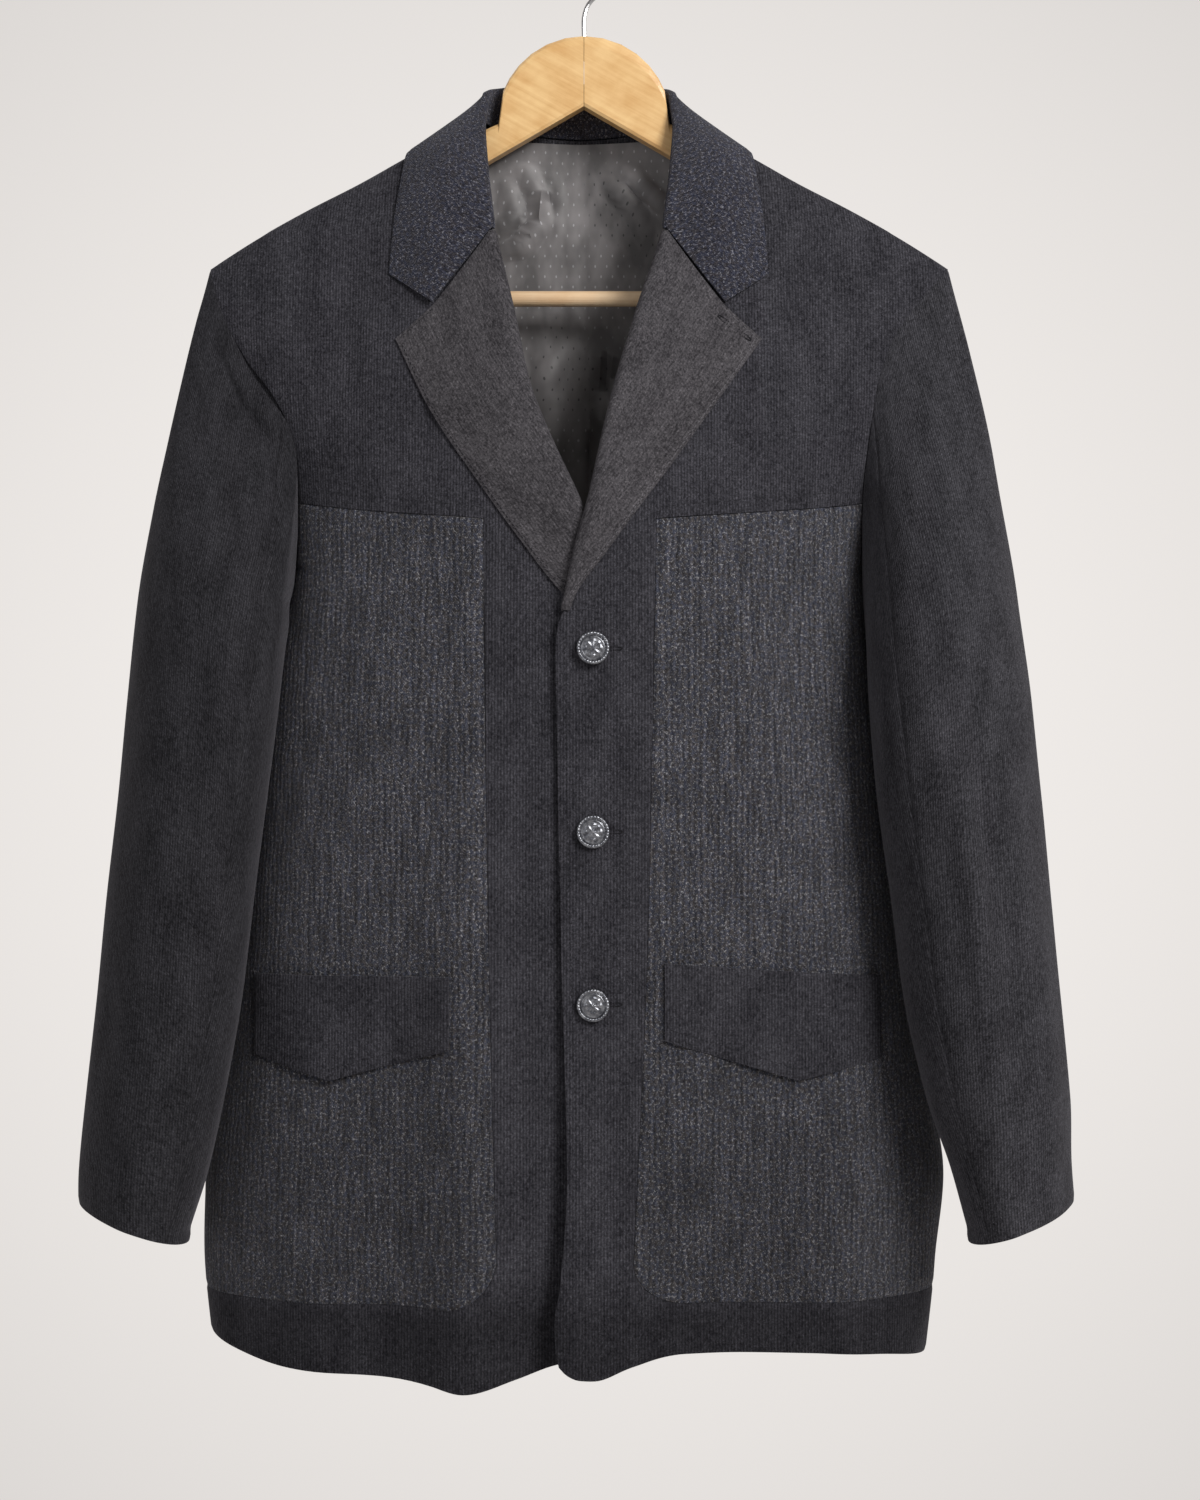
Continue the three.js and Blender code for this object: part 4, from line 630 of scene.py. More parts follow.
SLEEVE_LONG = curve([(205, 66), (431, 66), (614, 60), (815, 49)])
CUFF_OUTER, CUFF_FRONT, CUFF_INNER, CUFF_BACK = -800, -814, -822, -808
UNDER_FROM, UNDER_TO = 9, 24
ARM_STEPS = [0, 0.12, 0.45, 1, 2, 3, 4, 5, 6, 7, 8, 9, 10, 11, 12, 13, 14]
# How far down the armhole's shape lasts, how its steps go round the sleeve, and each seam's share of a step
ARM_FADE, ARM_POWER, PIECE_GAP = 0.36, 0.75, 0.012
# Columns for each step, and the closer rows at the armhole
ARM_COLUMNS, CLOSE_SHARE, CLOSE_ROWS, SLEEVE_ROWS = 5, 0.06, 14, 150
# Creases begin over this share of the sleeve
CREASE_FROM = 0.05
# The least square of a section's half length
LEAST_SQUARE = 100
# The sleeve's edge is tucked under the body's by this, and its cloth lies against the body's side
EDGE_TUCK = -0.5
BESIDE, BESIDE_ABOVE = 1.2, 26


def beside_body(side, y, z):
    half = half_width(-z)
    root = np.sqrt(ridge_drop(centre_x(-z) + side * half, z))
    share = np.clip(np.abs(y) / np.where(y < 0, front_depth(root), back_depth(root)), 0, 1)
    power = section_power(-z)
    return side * centre_x(-z) + half * (1 - share**power) ** (1 / power) + BESIDE


def sleeve_patches(side, crease):
    """The upper and under piece of a sleeve. crease(angle, down) stands the cloth out."""
    centre, half, middle = (curve(SLEEVE[side], value) for value in (1, 2, 3))
    last = len(ARM_STEPS) - 1
    ring = np.array(ARM_STEPS + ARM_STEPS[:last][::-1], float)
    whole = len(ring) - 1

    def section(angle, z):
        b = SLEEVE_LONG(-z)
        square = half(-z) ** 2 - (b * math.sin(SLEEVE_TURN)) ** 2
        a = np.sqrt(np.maximum(square, LEAST_SQUARE)) / math.cos(SLEEVE_TURN)
        s, along = a * np.cos(angle), b * np.sin(angle)
        x = s * math.cos(SLEEVE_TURN) - along * math.sin(SLEEVE_TURN)
        y = -s * math.sin(SLEEVE_TURN) - along * math.cos(SLEEVE_TURN)
        return np.stack([centre(-z) + side * x, middle(-z) + y], -1)

    def at(index, v):
        index = np.where(index < 0, index + whole, index)
        step = np.interp(index, np.arange(len(ring)), ring)
        on_back = index >= last
        front_turn, z = arm_turn(FRONT, side, step)
        back_turn, _ = arm_turn(BACK, side, step)
        body = np.where(on_back[..., None], back(back_turn, z), front(side, front_turn, z))
        angle = math.pi * (step / ARMPIT_STEP) ** ARM_POWER
        angle = np.where(on_back, 2 * math.pi - angle, angle)
        cosine, sine = np.cos(angle), np.sin(angle)
        cuff = ((CUFF_OUTER + CUFF_INNER) / 2 + (CUFF_OUTER - CUFF_INNER) / 2 * cosine
                + (CUFF_FRONT - CUFF_BACK) / 2 * sine)
        z = mix(body[..., 2], cuff, v)
        fade = 1 - smooth(v / ARM_FADE)
        here = section(angle, z) + (body[..., :2] - section(angle, body[..., 2])) * fade[..., None]
        off = EDGE_TUCK * fade
        away = np.stack([side * np.maximum(cosine + 0.7, 0.5), np.zeros_like(z), np.full(z.shape, -0.5)], -1)
        p = np.concatenate([here, z[..., None]], -1) + off[..., None] * unit(away)
        near = smooth((ARMPIT_Z + BESIDE_ABOVE - z) / BESIDE_ABOVE)
        p[..., 0] = mix(p[..., 0], side * np.maximum(side * p[..., 0], beside_body(side, p[..., 1], z)), near)
        out = unit(np.stack([side * (cosine * math.cos(SLEEVE_TURN) - sine * math.sin(SLEEVE_TURN)),
                             -cosine * math.sin(SLEEVE_TURN) - sine * math.cos(SLEEVE_TURN),
                             np.zeros_like(z)], -1))
        return p + (crease(angle, -z) * smooth(v / CREASE_FROM))[..., None] * out

    close_rows = np.linspace(0, CLOSE_SHARE, CLOSE_ROWS)[:-1]
    rows = np.concatenate([close_rows, np.linspace(CLOSE_SHARE, 1, SLEEVE_ROWS)])

    def piece(start, end):
        def along(u, v):
            return at(mix(start + PIECE_GAP, end - PIECE_GAP, u), v)

        return gridded(along, np.linspace(0, 1, (end - start) * ARM_COLUMNS + 1), rows, side == LEFT)

    return piece(UNDER_TO - whole, UNDER_FROM), piece(UNDER_FROM, UNDER_TO)


FLAP = {
    LEFT: {"gap": 0.7, "inner": 49.9, "point": 132, "outer": 186, "top": (-652.5, -663),
           "bottom": (-699.7, -725.3, -714)},
    RIGHT: {"gap": 1.9, "inner": -81.4, "point": -156, "outer": -206, "top": (-660, -662),
            "bottom": (-704, -725.5, -712)},
}

FLAP_INNER_WIDE, FLAP_OUTER_WIDE, FLAP_LONG = 110, 50, 62


def flap_patch(side):
    shape = FLAP[side]
    share = (shape["point"] - shape["inner"]) / (shape["outer"] - shape["inner"])

    def at(u, v):
        x = mix(shape["inner"], shape["outer"], u)
        top = mix(*shape["top"], u)
        a, b, c = shape["bottom"]
        to_point = mix(a, b, np.clip(u / share, 0, 1))
        bottom = np.where(u < share, to_point, mix(b, c, np.clip((u - share) / (1 - share), 0, 1)))
        p = front_at(side, x, mix(top, bottom, v))
        p[..., 1] -= CLOTH + shape["gap"]
        return p

    us = joined((0, share, FLAP_INNER_WIDE), (share, 1, FLAP_OUTER_WIDE))
    return gridded(at, us, steps(FLAP_LONG, FINE_STEP), side == RIGHT)


# Distance across the cloth from the centre line, by turn and height
TURN_CELLS, LEVEL_CELLS, WITHIN = 180, 69, 0.001
ACROSS_TURNS = np.linspace(-HALF_TURN, HALF_TURN, TURN_CELLS + 1)
ACROSS_LEVELS = np.linspace(-92, -915, LEVEL_CELLS + 1)


def across_table(face):
    turns, levels = np.meshgrid(ACROSS_TURNS, ACROSS_LEVELS)
    p = torso(face, turns, levels)[..., :2]
    run = np.cumsum(np.linalg.norm(np.diff(p, axis=1), axis=-1), axis=1)
    run = np.concatenate([np.zeros((len(levels), 1)), run], 1)
    middle = slice(TURN_CELLS // 2, TURN_CELLS // 2 + 1)
    return run - run[:, middle] + p[:, middle, 0]


ACROSS = {face: across_table(face) for face in (FRONT, BACK)}


def across_at(face, turn, z):
    table = ACROSS[face]
    c = np.clip((turn + HALF_TURN) / math.pi * TURN_CELLS, 0, TURN_CELLS - WITHIN)
    deep = (ACROSS_LEVELS[0] - z) / (ACROSS_LEVELS[0] - ACROSS_LEVELS[-1])
    r = np.clip(deep * LEVEL_CELLS, 0, LEVEL_CELLS - WITHIN)
    i, j = r.astype(int), c.astype(int)
    fr, fc = r - i, c - j
    top = mix(table[i, j], table[i, j + 1], fc)
    low = mix(table[i + 1, j], table[i + 1, j + 1], fc)
    return mix(top, low, fr)


def run_map(points, from_column, from_row=0):
    """Distance along each row from one column, and down the grid from one row."""
    rows = np.cumsum(np.linalg.norm(np.diff(points, axis=1), axis=-1), axis=1)
    rows = np.concatenate([np.zeros((len(points), 1)), rows], 1)
    downs = np.cumsum(np.linalg.norm(np.diff(points[:, from_column], axis=0), axis=-1))
    downs = np.concatenate([[0.0], downs])
    down = np.repeat(downs[:, None], points.shape[1], 1)
    return pair(rows - rows[:, from_column:from_column + 1], down[from_row, 0] - down)


WELD = 0.1
# The most of a cloth's thickness that its rim is drawn in, and the angle from which an edge is sharp
ROLL_SHARE, SHARP_ANGLE = 0.4, math.radians(62)


def numbered(grids):
    """The places of each grid's points in one list of all of them."""
    start = 0
    for g in grids:
        index = start + np.arange(g.shape[0] * g.shape[1]).reshape(g.shape[:2])
        start += index.size
        yield index


def welded(grids):
    """The grids' points as one list, with the points of shared edges counted once."""
    points = np.concatenate([g.reshape(-1, 3) for g in grids])
    rim = [run for index in numbered(grids) for run in (index[0], index[-1], index[:, 0], index[:, -1])]
    rim = np.unique(np.concatenate(rim))
    same = np.arange(len(points))
    places = points[rim]
    for i in rim:
        near = rim[np.linalg.norm(places - points[i], axis=1) < WELD]
        same[i] = min(near.min(), same[near].min())
    return points, same


def vertex_normals(points, quads):
    diagonal = points[quads[:, 2]] - points[quads[:, 0]]
    other = points[quads[:, 3]] - points[quads[:, 1]]
    faces = np.cross(diagonal, other)
    normals = np.zeros_like(points)
    for corner in range(4):
        np.add.at(normals, quads[:, corner], faces)
    return unit(normals)


def add_mesh(name, points, faces):
    """A new mesh object from points in millimetres."""
    mesh = bpy.data.meshes.new(name)
    mesh.from_pydata((np.array(points) * MM).tolist(), [], faces)
    obj = bpy.data.objects.new(name, mesh)
    bpy.context.scene.collection.objects.link(obj)
    return obj


def cloth(name, grids, maps, thickness, stand_out=0.0, lift=None, roll=0.5):
    """A closed wall of cloth through grids of points, in millimetres.

    lift(points) stands the cloth out; roll is how far its outer face is drawn in along its rim."""
    points, same = welded(grids)
    uv = np.concatenate([m.reshape(-1, 2) for m in maps])
    corners = [np.stack([i[:-1, :-1], i[1:, :-1], i[1:, 1:], i[:-1, 1:]], -1) for i in numbered(grids)]
    quads = same[np.concatenate([c.reshape(-1, 4) for c in corners])]
    kept, quads = np.unique(quads, return_inverse=True)
    quads = quads.reshape(-1, 4)
    points, uv = points[kept], uv[kept]
    normals = vertex_normals(points, quads)
    if lift is not None:
        points = points + lift(points)[:, None] * normals
        normals = vertex_normals(points, quads)
    count = len(points)
    edges = np.concatenate([quads[:, [i, (i + 1) % 4]] for i in range(4)])
    edges = edges[edges[:, 0] != edges[:, 1]]
    key = edges[:, 0] * count + edges[:, 1]
    back_key = edges[:, 1] * count + edges[:, 0]
    rim = edges[~np.isin(key, back_key)]
    inner = quads[:, ::-1] + count
    rims = np.stack([rim[:, 1], rim[:, 0], rim[:, 0] + count, rim[:, 1] + count], -1)
    drawn_in = np.zeros(count)
    drawn_in[np.unique(rim)] = min(roll, ROLL_SHARE * thickness)
    outer_points = points + (stand_out - drawn_in)[:, None] * normals
    inner_points = points + (stand_out - thickness) * normals
    whole = np.concatenate([quads, inner, rims])
    faces = []
    for face in whole.tolist():
        corners = [c for i, c in enumerate(face) if c != face[i - 1]]
        if len(corners) > 2:
            faces.append(corners)
    obj = add_mesh(name, np.concatenate([outer_points, inner_points]), faces)
    mesh = obj.data
    layer = mesh.uv_layers.new(name="cloth")
    both = np.concatenate([uv, uv])
    loops = np.zeros(len(mesh.loops), int)
    mesh.loops.foreach_get("vertex_index", loops)
    layer.data.foreach_set("uv", both[loops].astype(np.float32).ravel())
    mesh.validate()
    mesh.shade_smooth()
    mesh.set_sharp_from_angle(angle=SHARP_ANGLE)
    return obj


# How soon a crease fades at its ends
CREASE_FADE = 0.7


def crease_field(points, creases):
    """Height out of the cloth of soft creases, each a bent line in x and z, a width and a height."""
    x, z = points[..., 0], points[..., 2]
    high = np.zeros_like(x)
    for line, width, height in creases:
        nearest = np.full(x.shape, 1e9)
        along = np.zeros_like(x)
        total = sum(math.dist(a, b) for a, b in zip(line, line[1:]))
        walked = 0.0
        for a, b in zip(line, line[1:]):
            a, b = np.array(a, float), np.array(b, float)
            size = np.linalg.norm(b - a)
            t = np.clip(((x - a[0]) * (b - a)[0] + (z - a[1]) * (b - a)[1]) / size**2, 0, 1)
            away = np.hypot(x - a[0] - t * (b - a)[0], z - a[1] - t * (b - a)[1])
            closer = away < nearest
            nearest = np.where(closer, away, nearest)
            along = np.where(closer, (walked + t * size) / total, along)
            walked += size
        high += height * bump(nearest, width) * np.sin(math.pi * np.clip(along, 0.0, 1.0)) ** CREASE_FADE
    return high


class Wiring:
    """Short ways to make and wire the nodes of one tree."""

    def __init__(self, tree):
        self.tree = tree

    def put(self, socket, value):
        if isinstance(value, bpy.types.NodeSocket):
            self.tree.links.new(value, socket)
        elif isinstance(value, tuple) and len(value) < len(socket.default_value):
            socket.default_value = (*value, 1)
        else:
            socket.default_value = value

    def node(self, kind, inputs, output=0, **settings):
        """One output of a new node of that kind, with values or links put on its inputs."""
        made = self.tree.nodes.new("ShaderNode" + kind)
        for key, value in settings.items():
            setattr(made, key, value)
        for key, value in (inputs.items() if isinstance(inputs, dict) else enumerate(inputs)):
            self.put(made.inputs[key], value)
        return made.outputs[output]

    def math(self, operation, *inputs):
        return self.node("Math", inputs, operation=operation)

    def span(self, value, low, high, to_low=0.0, to_high=1.0):
        return self.node("MapRange", (value, low, high, to_low, to_high))

    def parts(self, vector):
        return self.node("SeparateXYZ", (vector,)).node.outputs


class Paint(Wiring):
    """A procedural material. The cloth map is in millimetres: across the cloth, and down it."""

    def __init__(self, name):
        self.material = bpy.data.materials.new(name)
        self.material.use_nodes = True
        super().__init__(self.material.node_tree)
        self.tree.nodes.clear()
        out = self.tree.nodes.new("ShaderNodeOutputMaterial")
        self.shader = self.tree.nodes.new("ShaderNodeBsdfPrincipled")
        self.tree.links.new(self.shader.outputs[0], out.inputs[0])

    def cloth_map(self):
        uv = self.node("UVMap", (), uv_map="cloth")
        across, down, _ = self.parts(uv)
        return uv, across, down

    def place(self):
        return self.node("NewGeometry", (), "Position")

    def stretched(self, vector, x, y):
        return self.node("VectorMath", (vector, (x, y, 1.0)), operation="MULTIPLY")

    def noise(self, vector, scale, detail=3.0, rough=0.55):
        inputs = {"Vector": vector, "Scale": scale, "Detail": detail, "Roughness": rough}
        return self.node("TexNoise", inputs, "Fac")

    def blend(self, share, a, b):
        return self.node("Mix", {0: share, 6: a, 7: b}, 2, data_type="RGBA")

    def dimmed(self, colour, value):
        return self.node("VectorMath", {0: colour, "Scale": value}, operation="SCALE")

    def bump(self, height, strength, depth):
        normal = self.node("Bump", {"Strength": strength, "Distance": depth, "Height": height})
        self.put(self.shader.inputs["Normal"], normal)

    def finish(self, colour, rough, specular=0.5, metallic=0.0, sheen=0.0, sheen_rough=0.5,
               sheen_tint=(1, 1, 1)):
        for name, value in (("Base Color", colour), ("Roughness", rough), ("Specular IOR Level", specular),
                            ("Metallic", metallic), ("Sheen Weight", sheen), ("Sheen Roughness", sheen_rough),
                            ("Sheen Tint", sheen_tint)):
            self.put(self.shader.inputs[name], value)
        return self.material


CORD_PITCH = 1.9
WALE, STITCH = 3.6, 1.9
FULL_TURN = 2 * math.pi


def needlecord(name, light, dark, painted_side_light=(1.0, 1.0), low=1.0, cord=0.8):
    """Black velvet with fine ribs: the pile's light comes from its mottle, the ribs and the sheen.

    painted_side_light: painted light and shade, how much lighter or darker the cloth is painted at the wearer's
    right and left as the light falls;
    low: below the panels; cord: how plain the ribs are."""
    paint = Paint(name)
    math_node, span, noise = paint.math, paint.span, paint.noise
    uv, across, _ = paint.cloth_map()
    rib = math_node("SINE", math_node("MULTIPLY", across, FULL_TURN / CORD_PITCH))
    rib = math_node("MULTIPLY_ADD", rib, 0.5, 0.5)
    pile = span(noise(paint.stretched(uv, 1.0, 0.6), 0.42, 3.0, 0.75), 0.36, 0.64)
    nap = span(noise(paint.stretched(uv, 1.0, 0.45), 0.055, 4.0, 0.6), 0.36, 0.64)
    speck = noise(uv, 0.75, 2.0, 0.85)
    share = math_node("MULTIPLY_ADD", nap, 0.35, math_node("MULTIPLY", pile, 0.65))
    colour = paint.blend(share, dark, light)
    x, _, z = paint.parts(paint.place())
    # The span over x paints light and shade: the cloth is painted lighter or darker at the wearer's right than
    # at its left, as the light falls.
    for value in (span(speck, 0.52, 0.66, 1.0, 1.75), span(speck, 0.34, 0.46, 0.45, 1.0),
                  span(rib, 0.0, 1.0, 1 - 0.36 * cord, 1 + 0.27 * cord), span(x, -0.2, 0.2, *painted_side_light),
                  span(z, -0.87, -0.84, low, 1.0)):
        colour = paint.dimmed(colour, value)
    height = math_node("ADD", math_node("MULTIPLY", rib, 0.5 * cord), math_node("MULTIPLY", pile, 0.7))
    paint.bump(height, 0.6, 0.0006)
    return paint.finish(colour, 0.95, 0.12, sheen=0.16, sheen_rough=0.35, sheen_tint=(0.82, 0.8, 0.9))


def rib_knit(name, light, dark, fleck, ribs, low=1.0):
    """Heathered rib knit: ribs down the cloth made of V stitches, uneven in tone, with pale flecks.

    ribs: how plain the ribs are; low: how light the knit is at the hem."""
    paint = Paint(name)
    math_node, span, noise = paint.math, paint.span, paint.noise
    uv, across, down = paint.cloth_map()
    wander = math_node("MULTIPLY", math_node("SUBTRACT", noise(uv, 0.06, 2.0), 0.5), 5.0)
    place = math_node("FRACT", math_node("DIVIDE", math_node("ADD", across, wander), WALE))
    middle = math_node("ABSOLUTE", math_node("SUBTRACT", place, 0.5))
    wale = math_node("COSINE", math_node("MULTIPLY", middle, FULL_TURN))
    lean = math_node("MULTIPLY_ADD", middle, 2.4, math_node("DIVIDE", down, STITCH))
    stitch = math_node("SINE", math_node("MULTIPLY", lean, FULL_TURN))
    stitch = math_node("MULTIPLY_ADD", stitch, 0.5, 0.5)
    wale = math_node("MULTIPLY_ADD", wale, 0.5, 0.5)
    yarn = span(noise(paint.stretched(uv, 1.0, 0.8), 0.5, 3.0, 0.85), 0.36, 0.64)
    streak = noise(paint.stretched(uv, 1.0, 0.1), 0.26, 3.0, 0.6)
    flecks = span(noise(paint.stretched(uv, 1.2, 0.9), 0.55, 2.0, 0.95), 0.55, 0.66)
    share = math_node("MULTIPLY_ADD", wale, 0.3 * ribs, math_node("MULTIPLY", stitch, 0.2))
    share = math_node("MULTIPLY_ADD", yarn, 0.8 - 0.3 * ribs, share)
    hue = span(noise(uv, 0.3, 2.0, 0.8), 0.42, 0.58)
    tint = paint.blend(hue, (1.08, 1.0, 0.9), (0.88, 0.98, 1.22))
    colour = paint.node("VectorMath", (paint.blend(share, dark, light), tint), operation="MULTIPLY")
    colour = paint.blend(math_node("MULTIPLY", flecks, 0.8), colour, fleck)
    colour = paint.dimmed(colour, span(noise(uv, 0.03, 3.0), 0.3, 0.7, 0.85, 1.12))
    if ribs > 0.5:
        colour = paint.dimmed(colour, span(streak, 0.36, 0.64, 0.68, 1.3))
    _, _, z = paint.parts(paint.place())
    colour = paint.dimmed(colour, span(z, -0.8, -0.6, low, 1.0))
    height = math_node("MULTIPLY_ADD", stitch, 0.4, math_node("MULTIPLY", wale, 0.8 * ribs))
    paint.bump(math_node("MULTIPLY_ADD", yarn, 0.8, height), 0.8, 0.0008)
    return paint.finish(colour, 0.92, 0.15, sheen=0.14, sheen_tint=(0.85, 0.86, 0.95))


DOT_ACROSS, DOT_DOWN = 7.5, 6.7
DOT_HALF_WIDE, DOT_HALF_HIGH = 0.5, 0.95


def satin(name, ground, bright, dark):
    """Dark grey satin with staggered small dots, pale in places and dark in others, under broad patches of
    painted reflection and painted shade.
    """
    paint = Paint(name)
    math_node, span, noise = paint.math, paint.span, paint.noise
    uv, across, down = paint.cloth_map()
    row = math_node("DIVIDE", down, DOT_DOWN)
    odd = math_node("MODULO", math_node("ABSOLUTE", math_node("FLOOR", row)), 2.0)
    column = math_node("MULTIPLY_ADD", odd, 0.5, math_node("DIVIDE", across, DOT_ACROSS))

    def off(place, size):
        return math_node("MULTIPLY", math_node("SUBTRACT", math_node("FRACT", place), 0.5), size)

    dx, dy = off(column, DOT_ACROSS / DOT_HALF_WIDE), off(row, DOT_DOWN / DOT_HALF_HIGH)
    away = math_node("SQRT", math_node("ADD", math_node("MULTIPLY", dx, dx), math_node("MULTIPLY", dy, dy)))
    dot = span(away, 0.8, 1.1, 1.0, 0.0)
    # Broad noise patches paint the satin's changing reflection and the shade in its folds: painted reflection
    # where lighter, painted shade where darker.
    painted_reflection_shade = noise(paint.stretched(uv, 1.0, 0.55), 0.035, 3.0, 0.6)
    tone = paint.blend(span(noise(uv, 0.012, 1.0), 0.45, 0.55), bright, dark)
    colour = paint.blend(math_node("MULTIPLY", dot, 0.8), ground, tone)
    colour = paint.dimmed(colour, span(painted_reflection_shade, 0.38, 0.62, 0.55, 1.2))
    paint.bump(noise(paint.stretched(uv, 0.5, 4.0), 1.0, 2.0), 0.12, 0.0003)
    return paint.finish(colour, 0.47, 0.4, sheen=0.08, sheen_rough=0.3)


def plain(name, colour, rough, specular=0.5, metallic=0.0):
    return Paint(name).finish(colour, rough, specular, metallic)


def pewter(name):
    paint = Paint(name)
    worn = paint.noise(paint.place(), 380.0, 3.0)
    colour = paint.blend(paint.span(worn, 0.35, 0.65), (0.11, 0.115, 0.135), (0.36, 0.37, 0.40))
    paint.bump(worn, 0.25, 0.0002)
    return paint.finish(colour, 0.36, 0.5, metallic=0.9)


def wood(name, pale, deep, lean):
    """Varnished pale wood with a fine long grain."""
    paint = Paint(name)
    span = paint.span

    def times(a, b):
        return paint.math("MULTIPLY", a, b)

    x, y, z = paint.parts(paint.place())
    along = paint.math("MULTIPLY_ADD", x, lean, times(z, 1.0))
    grain = paint.node("CombineXYZ", (times(x, 9.0), times(y, 120.0), times(along, 170.0)))
    grain = paint.noise(grain, 1.6, 4.0, 0.6)
    flame = paint.noise(paint.node("CombineXYZ", (times(x, 22.0), y, times(z, 30.0))), 2.2, 4.0)
    share = paint.math("MULTIPLY_ADD", span(grain, 0.35, 0.65), 0.5, times(span(flame, 0.35, 0.65), 0.5))
    paint.bump(grain, 0.12, 0.0003)
    for part, value in (("Coat Weight", 0.35), ("Coat Roughness", 0.18)):
        paint.put(paint.shader.inputs[part], value)
    return paint.finish(paint.blend(share, deep, pale), 0.38, 0.5)


velvet = needlecord("velvet", (0.067, 0.066, 0.078), (0.0155, 0.0153, 0.0195), (1.0, 0.94), 0.58)
# The lapels' copy of the velvet is painted lighter, as painted light for their angle to the lamp.
velvet_lapel_painted_light = needlecord("velvet_lapel_painted_light", (0.103, 0.098, 0.107), (0.027, 0.0255, 0.029), (0.93, 1.1), cord=0.3)
# The sleeves' copy of the velvet is painted darker, as painted shade of their curve.
velvet_sleeve_painted_shade = needlecord("velvet_sleeve_painted_shade", (0.055, 0.0545, 0.063), (0.0125, 0.0124, 0.0148), (0.80, 1.18))
knit = rib_knit("knit", (0.098, 0.097, 0.110), (0.006, 0.006, 0.0085), (0.37, 0.37, 0.39), 1.0, 0.74)
knit_collar = rib_knit("knit_collar", (0.060, 0.060, 0.077), (0.006, 0.006, 0.0095), (0.27, 0.27, 0.31), 0.15)
lining_satin = satin("lining", (0.19, 0.182, 0.186), (0.42, 0.42, 0.44), (0.035, 0.035, 0.038))
button_metal = pewter("button_metal")
hanger_wood = wood("hanger_wood", (1.0, 0.69, 0.33), (0.76, 0.43, 0.16), 0.55)
bar_wood = wood("bar_wood", (1.0, 0.76, 0.5), (0.84, 0.55, 0.31), 0.0)
steel = plain("steel", (0.62, 0.62, 0.63), 0.22, 0.5, 1.0)
thread = plain("thread", (0.02, 0.02, 0.024), 0.85, 0.2)
# A pale copy of the thread, a painted highlight, used along one lapel's edge.
thread_painted_highlight = plain("thread_painted_highlight", (0.14, 0.135, 0.15), 0.85, 0.2)


